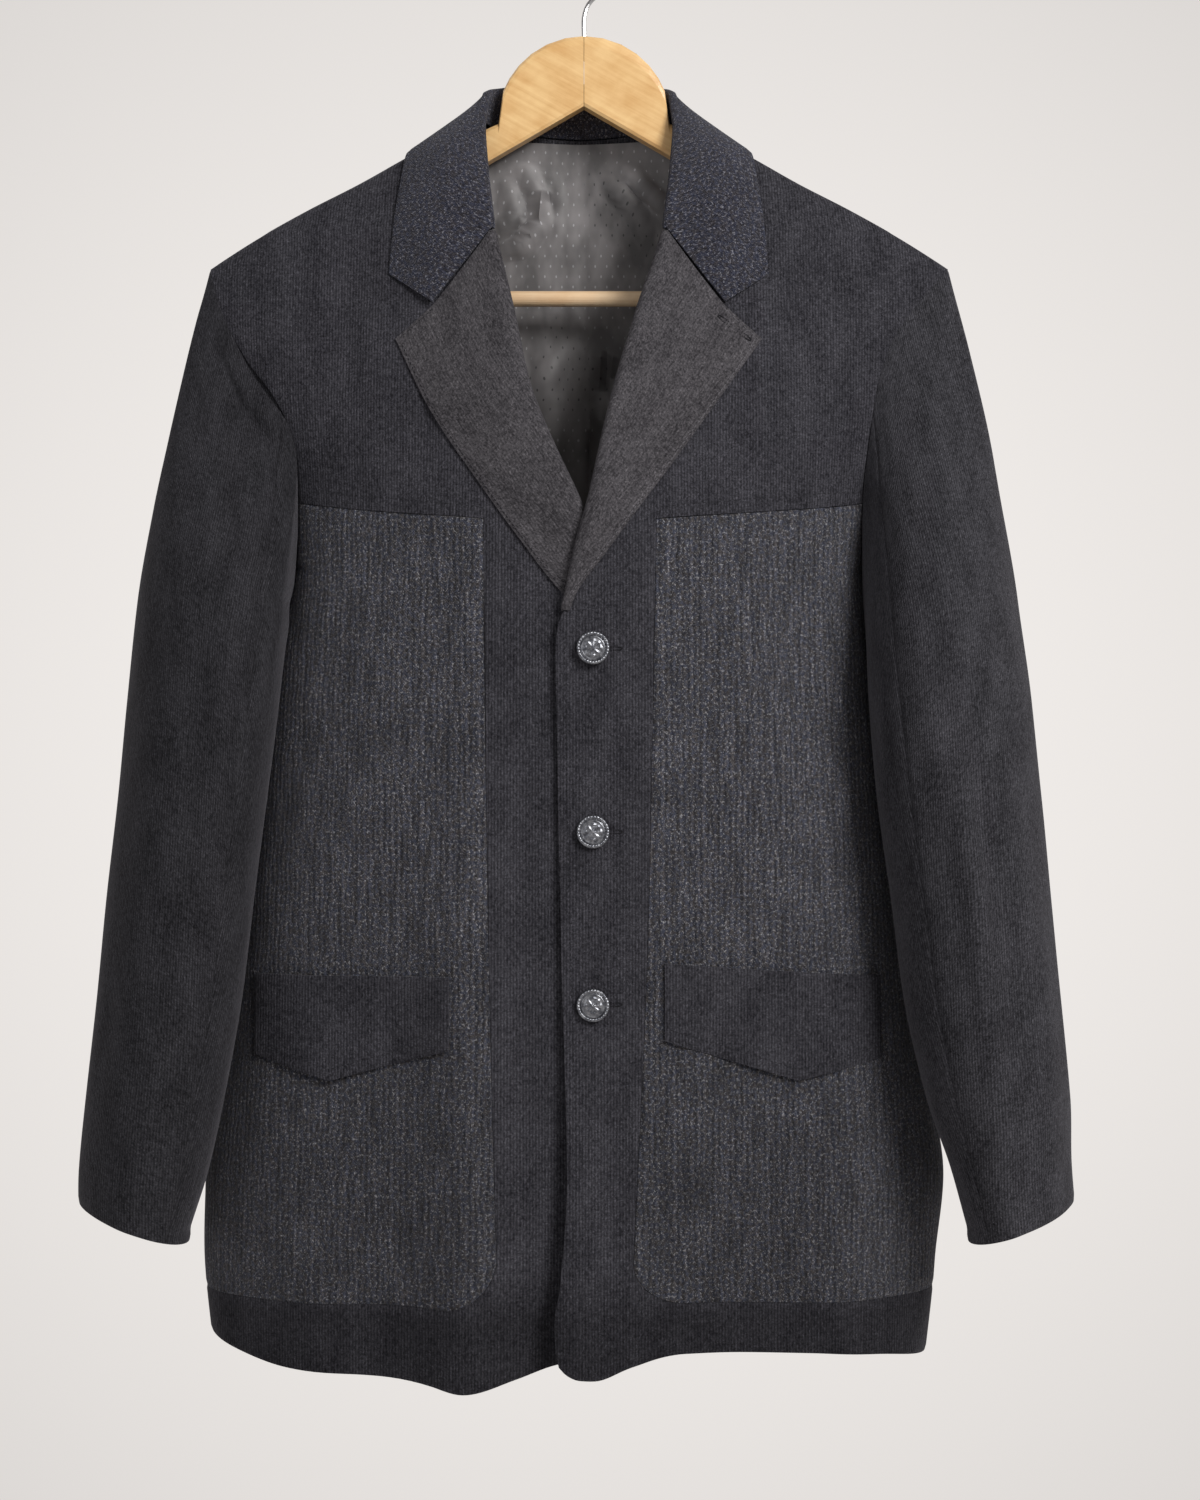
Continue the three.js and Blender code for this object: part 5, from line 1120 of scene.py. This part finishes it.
# Creases listed from the jacket as it hangs: (line in x and z, width, height out)
CREASES = {
    "front_left": [
        ([(110, -200), (128, -260), (120, -330)], 13, 1.2),
        ([(84, -300), (96, -345), (90, -378)], 11, -1.3),
        ([(150, -235), (140, -290)], 10, -1.0),
        ([(2, -520), (6, -600), (2, -660)], 9, 1.0),
        ([(44, -378), (100, -377), (160, -374), (190, -371)], 3.2, 1.1),
        ([(0.5, -470), (2, -600), (2, -760), (-2, -860)], 3.5, 0.9),
        ([(20, -700), (24, -780), (16, -850)], 10, -1.1),
    ],
    "front_right": [
        ([(-118, -205), (-132, -262), (-126, -330)], 13, 1.2),
        ([(-92, -300), (-104, -350)], 11, -1.3),
        ([(-155, -230), (-146, -300)], 10, -1.0),
        ([(-30, -480), (-34, -560), (-30, -640)], 9, -1.0),
        ([(-62, -378), (-100, -377), (-160, -374), (-190, -371)], 3.2, 1.1),
        ([(-26, -700), (-30, -790), (-24, -868)], 11, 1.2),
    ],
    "front_panel_left": [
        ([(62, -392), (66, -470), (60, -560)], 12, -1.3),
        ([(96, -400), (104, -500), (98, -620)], 15, 1.5),
        ([(140, -400), (132, -470), (136, -560)], 12, -1.5),
        ([(70, -590), (74, -690), (66, -820)], 13, 1.4),
        ([(112, -640), (118, -740), (110, -850)], 14, -1.7),
        ([(158, -620), (166, -720), (170, -850)], 15, 1.6),
        ([(84, -455), (120, -485), (150, -500)], 11, 0.9),
    ],
    "front_panel_right": [
        ([(-84, -385), (-86, -470), (-90, -560), (-94, -640)], 8, -1.8),
        ([(-66, -385), (-67, -480), (-70, -580), (-75, -672)], 8, 1.6),
        ([(-118, -400), (-124, -500), (-122, -600)], 14, 1.4),
        ([(-150, -410), (-148, -480), (-156, -560)], 12, -1.5),
        ([(-112, -640), (-120, -750), (-116, -850)], 13, 1.7),
        ([(-150, -630), (-160, -740), (-168, -850)], 14, -1.6),
        ([(-190, -660), (-200, -760), (-206, -850)], 13, 1.3),
        ([(-96, -470), (-130, -500), (-160, -505)], 11, 0.9),
    ],
    "back": [
        ([(-80, -220), (-95, -330), (-90, -430)], 22, 2.0),
        ([(85, -230), (98, -330), (92, -450)], 22, 2.0),
        ([(-140, -420), (-150, -560), (-148, -700)], 20, -2.2),
        ([(130, -430), (144, -560), (140, -720)], 20, -2.2),
        ([(-40, -560), (-52, -700), (-48, -880)], 22, 2.2),
        ([(40, -600), (54, -740), (50, -890)], 22, 2.0),
        ([(-3, -150), (-3, -500), (-3, -890)], 2.2, -1.2),
    ],
    "lining_back": [
        ([(-42, -140), (-31, -158), (-29, -176), (-42, -192), (-58, -198)], 3.6, 7.5),
        ([(-52, -150), (-46, -172), (-58, -186)], 3.4, 5.5),
        ([(-24, -142), (-18, -164), (-19, -190)], 3.4, 2.5),
        ([(14, -146), (30, -164), (44, -186)], 3.4, 6.5),
        ([(26, -140), (42, -156), (58, -172)], 3.2, 5.5),
        ([(20, -158), (36, -176), (52, -194)], 3.5, -1.5),
        ([(-2, -132), (-1, -230), (2, -330), (3, -430)], 1.6, -1.4),
        ([(-5.5, -132), (-4.5, -230), (-2, -330), (-1, -430)], 2.2, 1.6),
        ([(10, -238), (12, -310), (11, -430)], 2.4, 6.0),
        ([(19, -240), (20, -320), (17, -430)], 2.6, 6.5),
        ([(-32, -236), (-22, -300), (-20, -372)], 7, 3.5),
        ([(-12, -250), (-24, -275), (-40, -292)], 6, 3.0),
        ([(34, -256), (28, -300), (30, -350)], 6, 3.2),
    ],
}


def creased(name):
    return lambda points: crease_field(points, CREASES[name])


# The most that the lining's puckers stand towards the back
PUCKER_MOST = 1.2


def puckered(points):
    return np.minimum(-crease_field(points, CREASES["lining_back"]), PUCKER_MOST)


soft = {}


def add_body_cloth(name, patches, face, place, thickness=CLOTH, **more):
    """A cloth of the body through patches of [turn, z]; place(turn, z) gives their points."""
    grids = [place(p[..., 0], p[..., 1]) for p in patches]
    maps = [pair(across_at(face, p[..., 0], p[..., 1]), p[..., 1]) for p in patches]
    soft[name] = cloth(name + "_cloth", grids, maps, thickness, **more)


def add_run_cloth(name, patch, from_column, thickness=CLOTH, lift=None):
    """A cloth of one patch, whose map is measured along its rows from one column."""
    soft[name] = cloth(name + "_cloth", [patch], [run_map(patch, from_column)], thickness, lift=lift)


for side in (LEFT, RIGHT):
    for part, patches in zip(("front", "front_panel"), front_patches(side)):
        name = f"{part}_{SIDE_NAME[side]}"
        add_body_cloth(name, patches, FRONT, lambda turn, z: front(side, turn, z), lift=creased(name))
add_body_cloth("back", back_patches(), BACK, back, lift=creased("back"))
add_body_cloth("lining_back", lining_patches(), BACK, back, LINING, stand_out=-(CLOTH + LINING_GAP),
               lift=puckered)
for side in (LEFT, RIGHT):
    patch = lapel_patch(side)
    outer_column = 0 if side == RIGHT else patch.shape[1] - 1
    add_run_cloth(f"lapel_{SIDE_NAME[side]}", patch, outer_column, LAPEL_CLOTH)
patch = collar_patch()
add_run_cloth("collar", patch, patch.shape[1] // 2)

# Sharper folds on the sleeves' fronts, in the same form
SLEEVE_FOLDS = {
    LEFT: [([(193, -440), (221, -558), (240, -634), (254, -747), (256, -790)], 8, 2.6),
           ([(208, -450), (236, -558), (255, -640), (268, -750)], 8, -1.8),
           ([(196, -300), (216, -350), (228, -400)], 9, -1.8),
           ([(180, -340), (196, -380), (210, -430)], 7, 1.4)],
    RIGHT: [([(-224, -254), (-209, -285), (-193, -303), (-172, -318)], 4.5, -3.2),
            ([(-218, -248), (-200, -276), (-184, -294)], 4.5, 2.2),
            ([(-226, -276), (-212, -302), (-194, -320), (-180, -330)], 5, 2.0),
            ([(-220, -404), (-200, -420), (-180, -436)], 7, -2.0),
            ([(-226, -420), (-206, -438), (-188, -452)], 7, 1.6),
            ([(-236, -470), (-226, -560), (-244, -660)], 12, -1.8)],
}


# The folds begin this far ahead of the middle and are whole after this
FOLDS_AHEAD, FOLDS_EASE = 8, 16
# The flaps' ripple: height, length by x, and where it begins down them and is whole
RIPPLE, RIPPLE_LENGTH, RIPPLE_Z, RIPPLE_EASE = 0.5, 7.5, -660, 50


def sleeve_lift(side):
    return lambda p: crease_field(p, SLEEVE_FOLDS[side]) * smooth((-FOLDS_AHEAD - p[:, 1]) / FOLDS_EASE)


def flap_lift(points):
    return RIPPLE * np.sin(points[:, 0] / RIPPLE_LENGTH) * smooth((RIPPLE_Z - points[:, 2]) / RIPPLE_EASE)


# Sleeve creases: angle round the sleeve from its outside, depth, spread of each, lean, height
SLEEVE_CREASES = {
    LEFT: [(1.25, 620, 0.13, 150, 0.0006, 2.3), (1.02, 600, 0.1, 130, 0.0006, -1.2),
           (0.5, 300, 0.16, 60, 0.004, -1.6), (0.9, 360, 0.2, 70, 0.003, 1.8), (0.2, 470, 0.3, 60, 0.0, 1.4),
           (1.3, 520, 0.25, 80, 0.002, -1.8), (0.6, 610, 0.28, 60, -0.003, 1.5),
           (1.0, 690, 0.2, 80, 0.001, -1.6),
           (1.5, 760, 0.22, 60, 0.0, 1.4), (0.1, 740, 0.3, 70, 0.0, -1.2)],
    RIGHT: [(1.15, 290, 0.11, 42, 0.014, -2.8), (1.32, 278, 0.1, 36, 0.014, 2.0),
            (0.86, 305, 0.12, 40, 0.013, 1.6),
            (0.6, 290, 0.15, 55, 0.006, -1.9), (0.9, 330, 0.18, 60, 0.006, 1.7),
            (0.3, 420, 0.3, 70, 0.0, 1.4),
            (1.2, 480, 0.22, 90, 0.001, -1.6), (0.7, 560, 0.26, 60, 0.002, 1.6),
            (1.6, 640, 0.22, 90, 0.0, 1.5),
            (0.4, 700, 0.26, 70, 0.0, -1.4), (1.1, 760, 0.22, 60, -0.001, 1.3)],
}


def sleeve_crease(side):
    def crease(angle, down):
        high = np.zeros_like(down)
        turned = np.where(angle > math.pi, angle - 2 * math.pi, angle)
        for at, depth, wide, tall, lean, height in SLEEVE_CREASES[side]:
            high += height * bump(turned - at - lean * (down - depth), wide) * bump(down - depth, tall)
        return high

    return crease


for side in (LEFT, RIGHT):
    for part, patch in zip(("upper", "under"), sleeve_patches(side, sleeve_crease(side))):
        add_run_cloth(f"sleeve_{SIDE_NAME[side]}_{part}", patch, patch.shape[1] // 2, lift=sleeve_lift(side))
for side in (LEFT, RIGHT):
    name = f"pocket_flap_{SIDE_NAME[side]}"
    patch = flap_patch(side)
    soft[name] = cloth(name + "_cloth", [patch], [pair(patch[..., 0], patch[..., 2])], CLOTH, lift=flap_lift)

FINISH = {"front_left": velvet, "front_right": velvet, "front_panel_left": knit, "front_panel_right": knit,
          "back": velvet, "lining_back": lining_satin, "collar": knit_collar, "lapel_left": velvet_lapel_painted_light,
          "lapel_right": velvet_lapel_painted_light, "pocket_flap_left": velvet, "pocket_flap_right": velvet}
SLOTS = {"front_panel_left": "knit", "front_panel_right": "knit", "collar": "knit", "lining_back": "lining"}
# The cut of each cloth that shows: width and length of its rectangle and its flat area
CUT = {
    "front_left": (0.27, 0.79, 0.0733), "front_right": (0.29, 0.80, 0.0898),
    "front_panel_left": (0.225, 0.50, 0.0940), "front_panel_right": (0.215, 0.50, 0.0920),
    "back": (0.50, 0.785, 0.329), "lining_back": (0.44, 0.75, 0.2705), "collar": (0.45, 0.10, 0.0305),
    "lapel_left": (0.13, 0.245, 0.0122), "lapel_right": (0.13, 0.245, 0.0139),
    "pocket_flap_left": (0.145, 0.073, 0.0083), "pocket_flap_right": (0.142, 0.066, 0.0075),
    "sleeve_left_upper": (0.175, 0.61, 0.0970), "sleeve_left_under": (0.14, 0.53, 0.0650),
    "sleeve_right_upper": (0.175, 0.61, 0.0935), "sleeve_right_under": (0.14, 0.53, 0.0640),
}
for name, obj in soft.items():
    obj.data.materials.append(FINISH.get(name, velvet_sleeve_painted_shade))
    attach(obj, "root")
    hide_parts(name)
    SLOTS.get(name, "velvet")
    width, length, area = CUT[name]


# Sewing: each line follows x and z on one cloth and is laid on its outside
RAY_FROM = -0.4


def laid(obj, x, z):
    """The cloth's outside straight behind x and z, and its normal there, or None."""
    hit, at, normal, _ = obj.ray_cast(Vector((x * MM, RAY_FROM, z * MM)), Vector((0, 1, 0)))
    return (np.array(at) / MM, np.array(normal)) if hit else None


# A thread's top: its width against the foot's, and its half length
THREAD_TOP, THREAD_END = 0.6, 0.3


def prisms(name, ends, width, high, material):
    """One mesh of short threads. Each entry of ends is (start, end, normal) in millimetres."""
    points, faces = [], []
    for start, end, normal in ends:
        ahead = unit(end - start)
        aside = unit(np.cross(ahead, normal)) * width / 2
        lift = normal * high
        k = len(points)
        middle = (start + end) / 2 + lift
        points += [start - aside, start + aside, end + aside, end - aside]
        points += [middle + x * aside * THREAD_TOP + y * ahead * THREAD_END
                   for x, y in ((-1, -1), (1, -1), (1, 1), (-1, 1))]
        faces += [(k, k + 1, k + 5, k + 4), (k + 1, k + 2, k + 6, k + 5), (k + 2, k + 3, k + 7, k + 6),
                  (k + 3, k, k + 4, k + 7), (k + 4, k + 5, k + 6, k + 7), (k + 3, k + 2, k + 1, k)]
    obj = add_mesh(name, points, faces)
    obj.data.materials.append(material)
    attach(obj, "root")


STITCH_RUN, STITCH_SKIP = 2.3, 0.9
STITCH_WIDE, STITCH_HIGH, STITCH_SUNK = 0.5, 0.42, 0.15


def stitch_line(name, obj, line, material, width=STITCH_WIDE):
    """Stitches along a line of (x, z) points on a cloth."""
    line = np.array(line, float)
    sizes = np.linalg.norm(np.diff(line, axis=0), axis=1)
    walked = np.concatenate([[0], np.cumsum(sizes)])
    ends = []
    at = 0.0
    while at + STITCH_RUN < walked[-1]:
        both = []
        for where in (at, at + STITCH_RUN):
            x, z = (np.interp(where, walked, line[:, i]) for i in (0, 1))
            both.append(laid(obj, x, z))
        if None not in both:
            (a, normal), (b, _) = both
            if np.linalg.norm(b - a) < 2 * STITCH_RUN:
                ends.append((a - STITCH_SUNK * normal, b - STITCH_SUNK * normal, normal))
        at += STITCH_RUN + STITCH_SKIP
    prisms(name, ends, width, STITCH_HIGH, material)


# A buttonhole: its stitches, half its width, how square its ends are, and where a stitch starts
HOLE_STITCHES, HOLE_HALF, HOLE_SQUARE = 46, 1.5, 0.55
HOLE_INNER, HOLE_ALONG, HOLE_LONGEST, HOLE_HIGH = 0.45, 0.93, 3, 0.5


def buttonhole(name, obj, x, z, half, turn):
    """Close stitches round a slit, on a cloth."""
    ends = []
    c, s = math.cos(turn), math.sin(turn)
    for i in range(HOLE_STITCHES):
        a = 2 * math.pi * i / HOLE_STITCHES
        along = half * math.copysign(abs(math.cos(a)) ** HOLE_SQUARE, math.cos(a))
        aside = HOLE_HALF * math.copysign(abs(math.sin(a)) ** HOLE_SQUARE, math.sin(a))
        p = laid(obj, x + along * c * HOLE_ALONG - aside * HOLE_INNER * s,
                 z + along * s * HOLE_ALONG + aside * HOLE_INNER * c)
        q = laid(obj, x + along * c - aside * s, z + along * s + aside * c)
        if p and q and np.linalg.norm(p[0] - q[0]) < HOLE_LONGEST:
            ends.append((p[0], q[0], p[1]))
    prisms(name, ends, STITCH_WIDE, HOLE_HIGH, thread)


# How far in from its edge a row of stitches runs on a lapel, a flap, the yoke and the front's free edge
LAPEL_IN, FLAP_IN, YOKE_IN, EDGE_IN = 2.4, 7, 7, 5.5
# The wearer's left lapel's stitches are painted pale, as a painted highlight along that lapel's edge; the right
# lapel's are the dark thread.
LAPEL_THREAD = {LEFT: thread_painted_highlight, RIGHT: thread}
LAPEL_THREAD_WIDE = 0.6
# The lapel's buttonhole: place, half length and lean, and how far out a button's hole is and its half length
LAPEL_HOLE, HOLE_OUT, HOLE_LONG = (94, -260, 13, -0.64), 6.5, 11.5
EDGE_STITCH_TOP, EDGE_STITCH_BOTTOM = -450, -886

for side in (LEFT, RIGHT):
    word = SIDE_NAME[side]
    shape = LAPEL[side]
    outer_x = curve(shape["edge"])
    downs = np.linspace(-270, shape["break"] + 6, 60)
    line = [(outer_x(-z) - side * LAPEL_IN, z) for z in downs]
    stitch_line(f"stitch_lapel_{word}", soft[f"lapel_{word}"], line, LAPEL_THREAD[side],
                LAPEL_THREAD_WIDE)
    notch = np.array(shape["notch"])
    corner = np.array([shape["edge"][0][1], LAPEL_EDGE_TOP])
    top = [mix(notch, corner, t) + np.array([-side * 0.6, -2.2]) for t in np.linspace(0.04, 0.97, 12)]
    stitch_line(f"stitch_lapel_top_{word}", soft[f"lapel_{word}"], top, LAPEL_THREAD[side])
    flap = FLAP[side]
    ends = (flap["inner"] + side * 3, flap["point"], flap["outer"] - side * 5)
    edge = [(x, z + FLAP_IN) for x, z in zip(ends, flap["bottom"])]
    stitch_line(f"stitch_flap_{word}", soft[f"pocket_flap_{word}"], edge, thread)
    seam_x = curve(BAND_SEAM[side])(-YOKE_INNER_Z)
    end_turn, end_z = arm_edge(FRONT, side, np.array(float(YOKE_STEP)))
    end_x = front(side, end_turn, end_z)[0]
    shares = np.linspace(0.02, 0.97, 30)
    yoke = [(mix(seam_x, end_x, t), mix(YOKE_INNER_Z, end_z, t) + YOKE_IN) for t in shares]
    stitch_line(f"stitch_yoke_{word}", soft[f"front_{word}"], yoke, thread)

buttonhole("lapel_hole", soft["lapel_left"], *LAPEL_HOLE)

edge_x = curve(FRONT_EDGE[LEFT])
line = [(edge_x(-z) + EDGE_IN, z) for z in np.linspace(EDGE_STITCH_TOP, EDGE_STITCH_BOTTOM, 90)]
stitch_line("stitch_front_edge", soft["front_left"], line, thread)

BUTTON_X = 6.1
BUTTONS = {"button_top": -461, "button_middle": -572, "button_bottom": -677}
BUTTON_RADIUS, RIM_INNER, RIM_AT, RIM_HALF, RIM_HIGH = 10.0, 7.7, 8.9, 1.2, 3.5
DOME_RADIUS, DOME_HIGH, DOME_FALL = 7.4, 5.4, 1.1
PETALS, PETAL_RADIUS = 8, 6.4
ROPE_HIGH, ROPE_TWISTS, ROPE_LEAN = 1.15, 30, 1.6
SPOKES = 120
# The button's underside and shank: radius and height off the cloth
BUTTON_BEHIND = [(9.7, 2.5), (8.6, 2.1), (3.0, 1.9), (2.8, 0.2), (0.01, 0.1)]


def button(name, z):
    """A pewter button: a rope round its rim and a plain rosette on its dome."""
    y = float(front_at(LEFT, BUTTON_X, z)[1]) - 2 * SEAM
    radii = np.concatenate([np.linspace(0, DOME_RADIUS, 20), np.linspace(RIM_INNER, BUTTON_RADIUS, 12)])
    angles = np.linspace(0, 2 * math.pi, SPOKES + 1)[:-1]
    r, a = np.meshgrid(radii, angles, indexing="ij")
    dome = DOME_HIGH - DOME_FALL * (r / DOME_RADIUS) ** 2
    swell = np.sin(math.pi * np.clip(r / PETAL_RADIUS, 0, 1)) ** 0.8
    petals = 0.2 * np.cos(PETALS * a) * swell * (r < PETAL_RADIUS)
    rings = 0.45 * bump(r - 6.9, 0.35) + 0.3 * bump(r - 4.6, 0.3) + 0.5 * bump(r, 1.3)
    rope = ROPE_HIGH * np.sqrt(np.maximum(1 - ((r - RIM_AT) / RIM_HALF) ** 2, 0))
    rope = rope * (1 + 0.22 * np.sin(ROPE_TWISTS * a + ROPE_LEAN * (r - RIM_AT)))
    ahead = np.where(r <= DOME_RADIUS, dome + petals + rings, RIM_HIGH + rope)
    ahead[-1] = 3.3
    behind = np.array(BUTTON_BEHIND)
    r = np.concatenate([r, np.repeat(behind[:, :1], SPOKES, 1)])
    ahead = np.concatenate([ahead, np.repeat(behind[:, 1:], SPOKES, 1)])
    points = np.stack([BUTTON_X + r * np.cos(angles), y - ahead, z + r * np.sin(angles)], -1)
    index = np.arange(r.size).reshape(r.shape)
    after = np.roll(index, -1, 1)
    faces = np.stack([index[:-1], after[:-1], after[1:], index[1:]], -1).reshape(-1, 4)
    obj = add_mesh(name + "_metal", points.reshape(-1, 3), faces.tolist())
    obj.data.validate()
    obj.data.shade_smooth()
    obj.data.materials.append(button_metal)
    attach(obj, "root")
    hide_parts(name)


for name, z in BUTTONS.items():
    button(name, z)
    buttonhole(name + "_hole", soft["front_left"], BUTTON_X + HOLE_OUT, z, HOLE_LONG, 0.0)

# The hanger stays as the frame's own nodes
HANGER_LOOKS = {"hanger_arm_left": hanger_wood, "hanger_arm_right": hanger_wood, "hanger_bar": bar_wood,
                "hanger_hook": steel}
for name, paint in HANGER_LOOKS.items():
    nodes[name].data.materials.clear()
    nodes[name].data.materials.append(paint)

CAMERA_AT, LENS, SENSOR_WIDTH = (0.0103, -1.3, -0.5225), 48.37, 36
scene = bpy.context.scene
camera_data = bpy.data.cameras.new("camera")
camera = bpy.data.objects.new("camera", camera_data)
scene.collection.objects.link(camera)
camera.location = CAMERA_AT
camera.rotation_euler = (HALF_TURN, 0, 0)
camera_data.sensor_width = SENSOR_WIDTH
camera_data.lens = LENS
scene.camera = camera


def soft_light(name, place, aim, size, power, colour):
    data = bpy.data.lights.new(name, "AREA")
    data.shape = "SQUARE"
    data.size = size
    data.energy = power
    data.color = colour
    obj = bpy.data.objects.new(name, data)
    obj.location = place
    obj.rotation_euler = (Vector(aim) - Vector(place)).to_track_quat("-Z", "Y").to_euler()
    scene.collection.objects.link(obj)


soft_light("key", (1.5, -1.9, 0.8), (0.0, 0.0, -0.4), 1.0, 58, (1.0, 0.98, 0.96))
soft_light("fill", (-1.6, -1.8, -0.2), (0.0, 0.0, -0.5), 1.6, 6, (0.96, 0.97, 1.0))

world = bpy.data.worlds.new("room")
world.use_nodes = True
scene.world = world
wiring = Wiring(world.node_tree)
background = world.node_tree.nodes["Background"]
x, y, z = wiring.parts(wiring.node("TexCoord", (), "Generated"))
# The wall behind the jacket is brightest, and its light falls off from the middle
behind = wiring.node("MapRange", (y, -0.3, 0.75, 0.35, 1.0), interpolation_type="SMOOTHSTEP")
off_middle = wiring.math("MULTIPLY_ADD", z, z, wiring.math("MULTIPLY", x, x))
falloff = wiring.span(off_middle, 0.0, 0.25, 0.90, 0.66)
wiring.put(background.inputs["Strength"], wiring.math("MULTIPLY", behind, falloff))
wiring.put(background.inputs["Color"], (1.0, 0.96, 0.93))
scene.view_settings.view_transform = "Standard"

# A plain pale floor, below the part of the room that the picture shows
FLOOR_HALF, FLOOR_Z = 1250, -1500
corners = [(x * FLOOR_HALF, y * FLOOR_HALF, FLOOR_Z) for x, y in ((-1, -1), (1, -1), (1, 1), (-1, 1))]
floor = add_mesh("floor", corners, [(0, 1, 2, 3)])
floor.data.materials.append(plain("floor", (0.72, 0.69, 0.67), 0.8))
floor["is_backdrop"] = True

bounds_before_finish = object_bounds()
"[" + ", ".join(str([list(corner) for corner in box]) for box in (bounds_at_load, bounds_before_finish)) + "]\n"
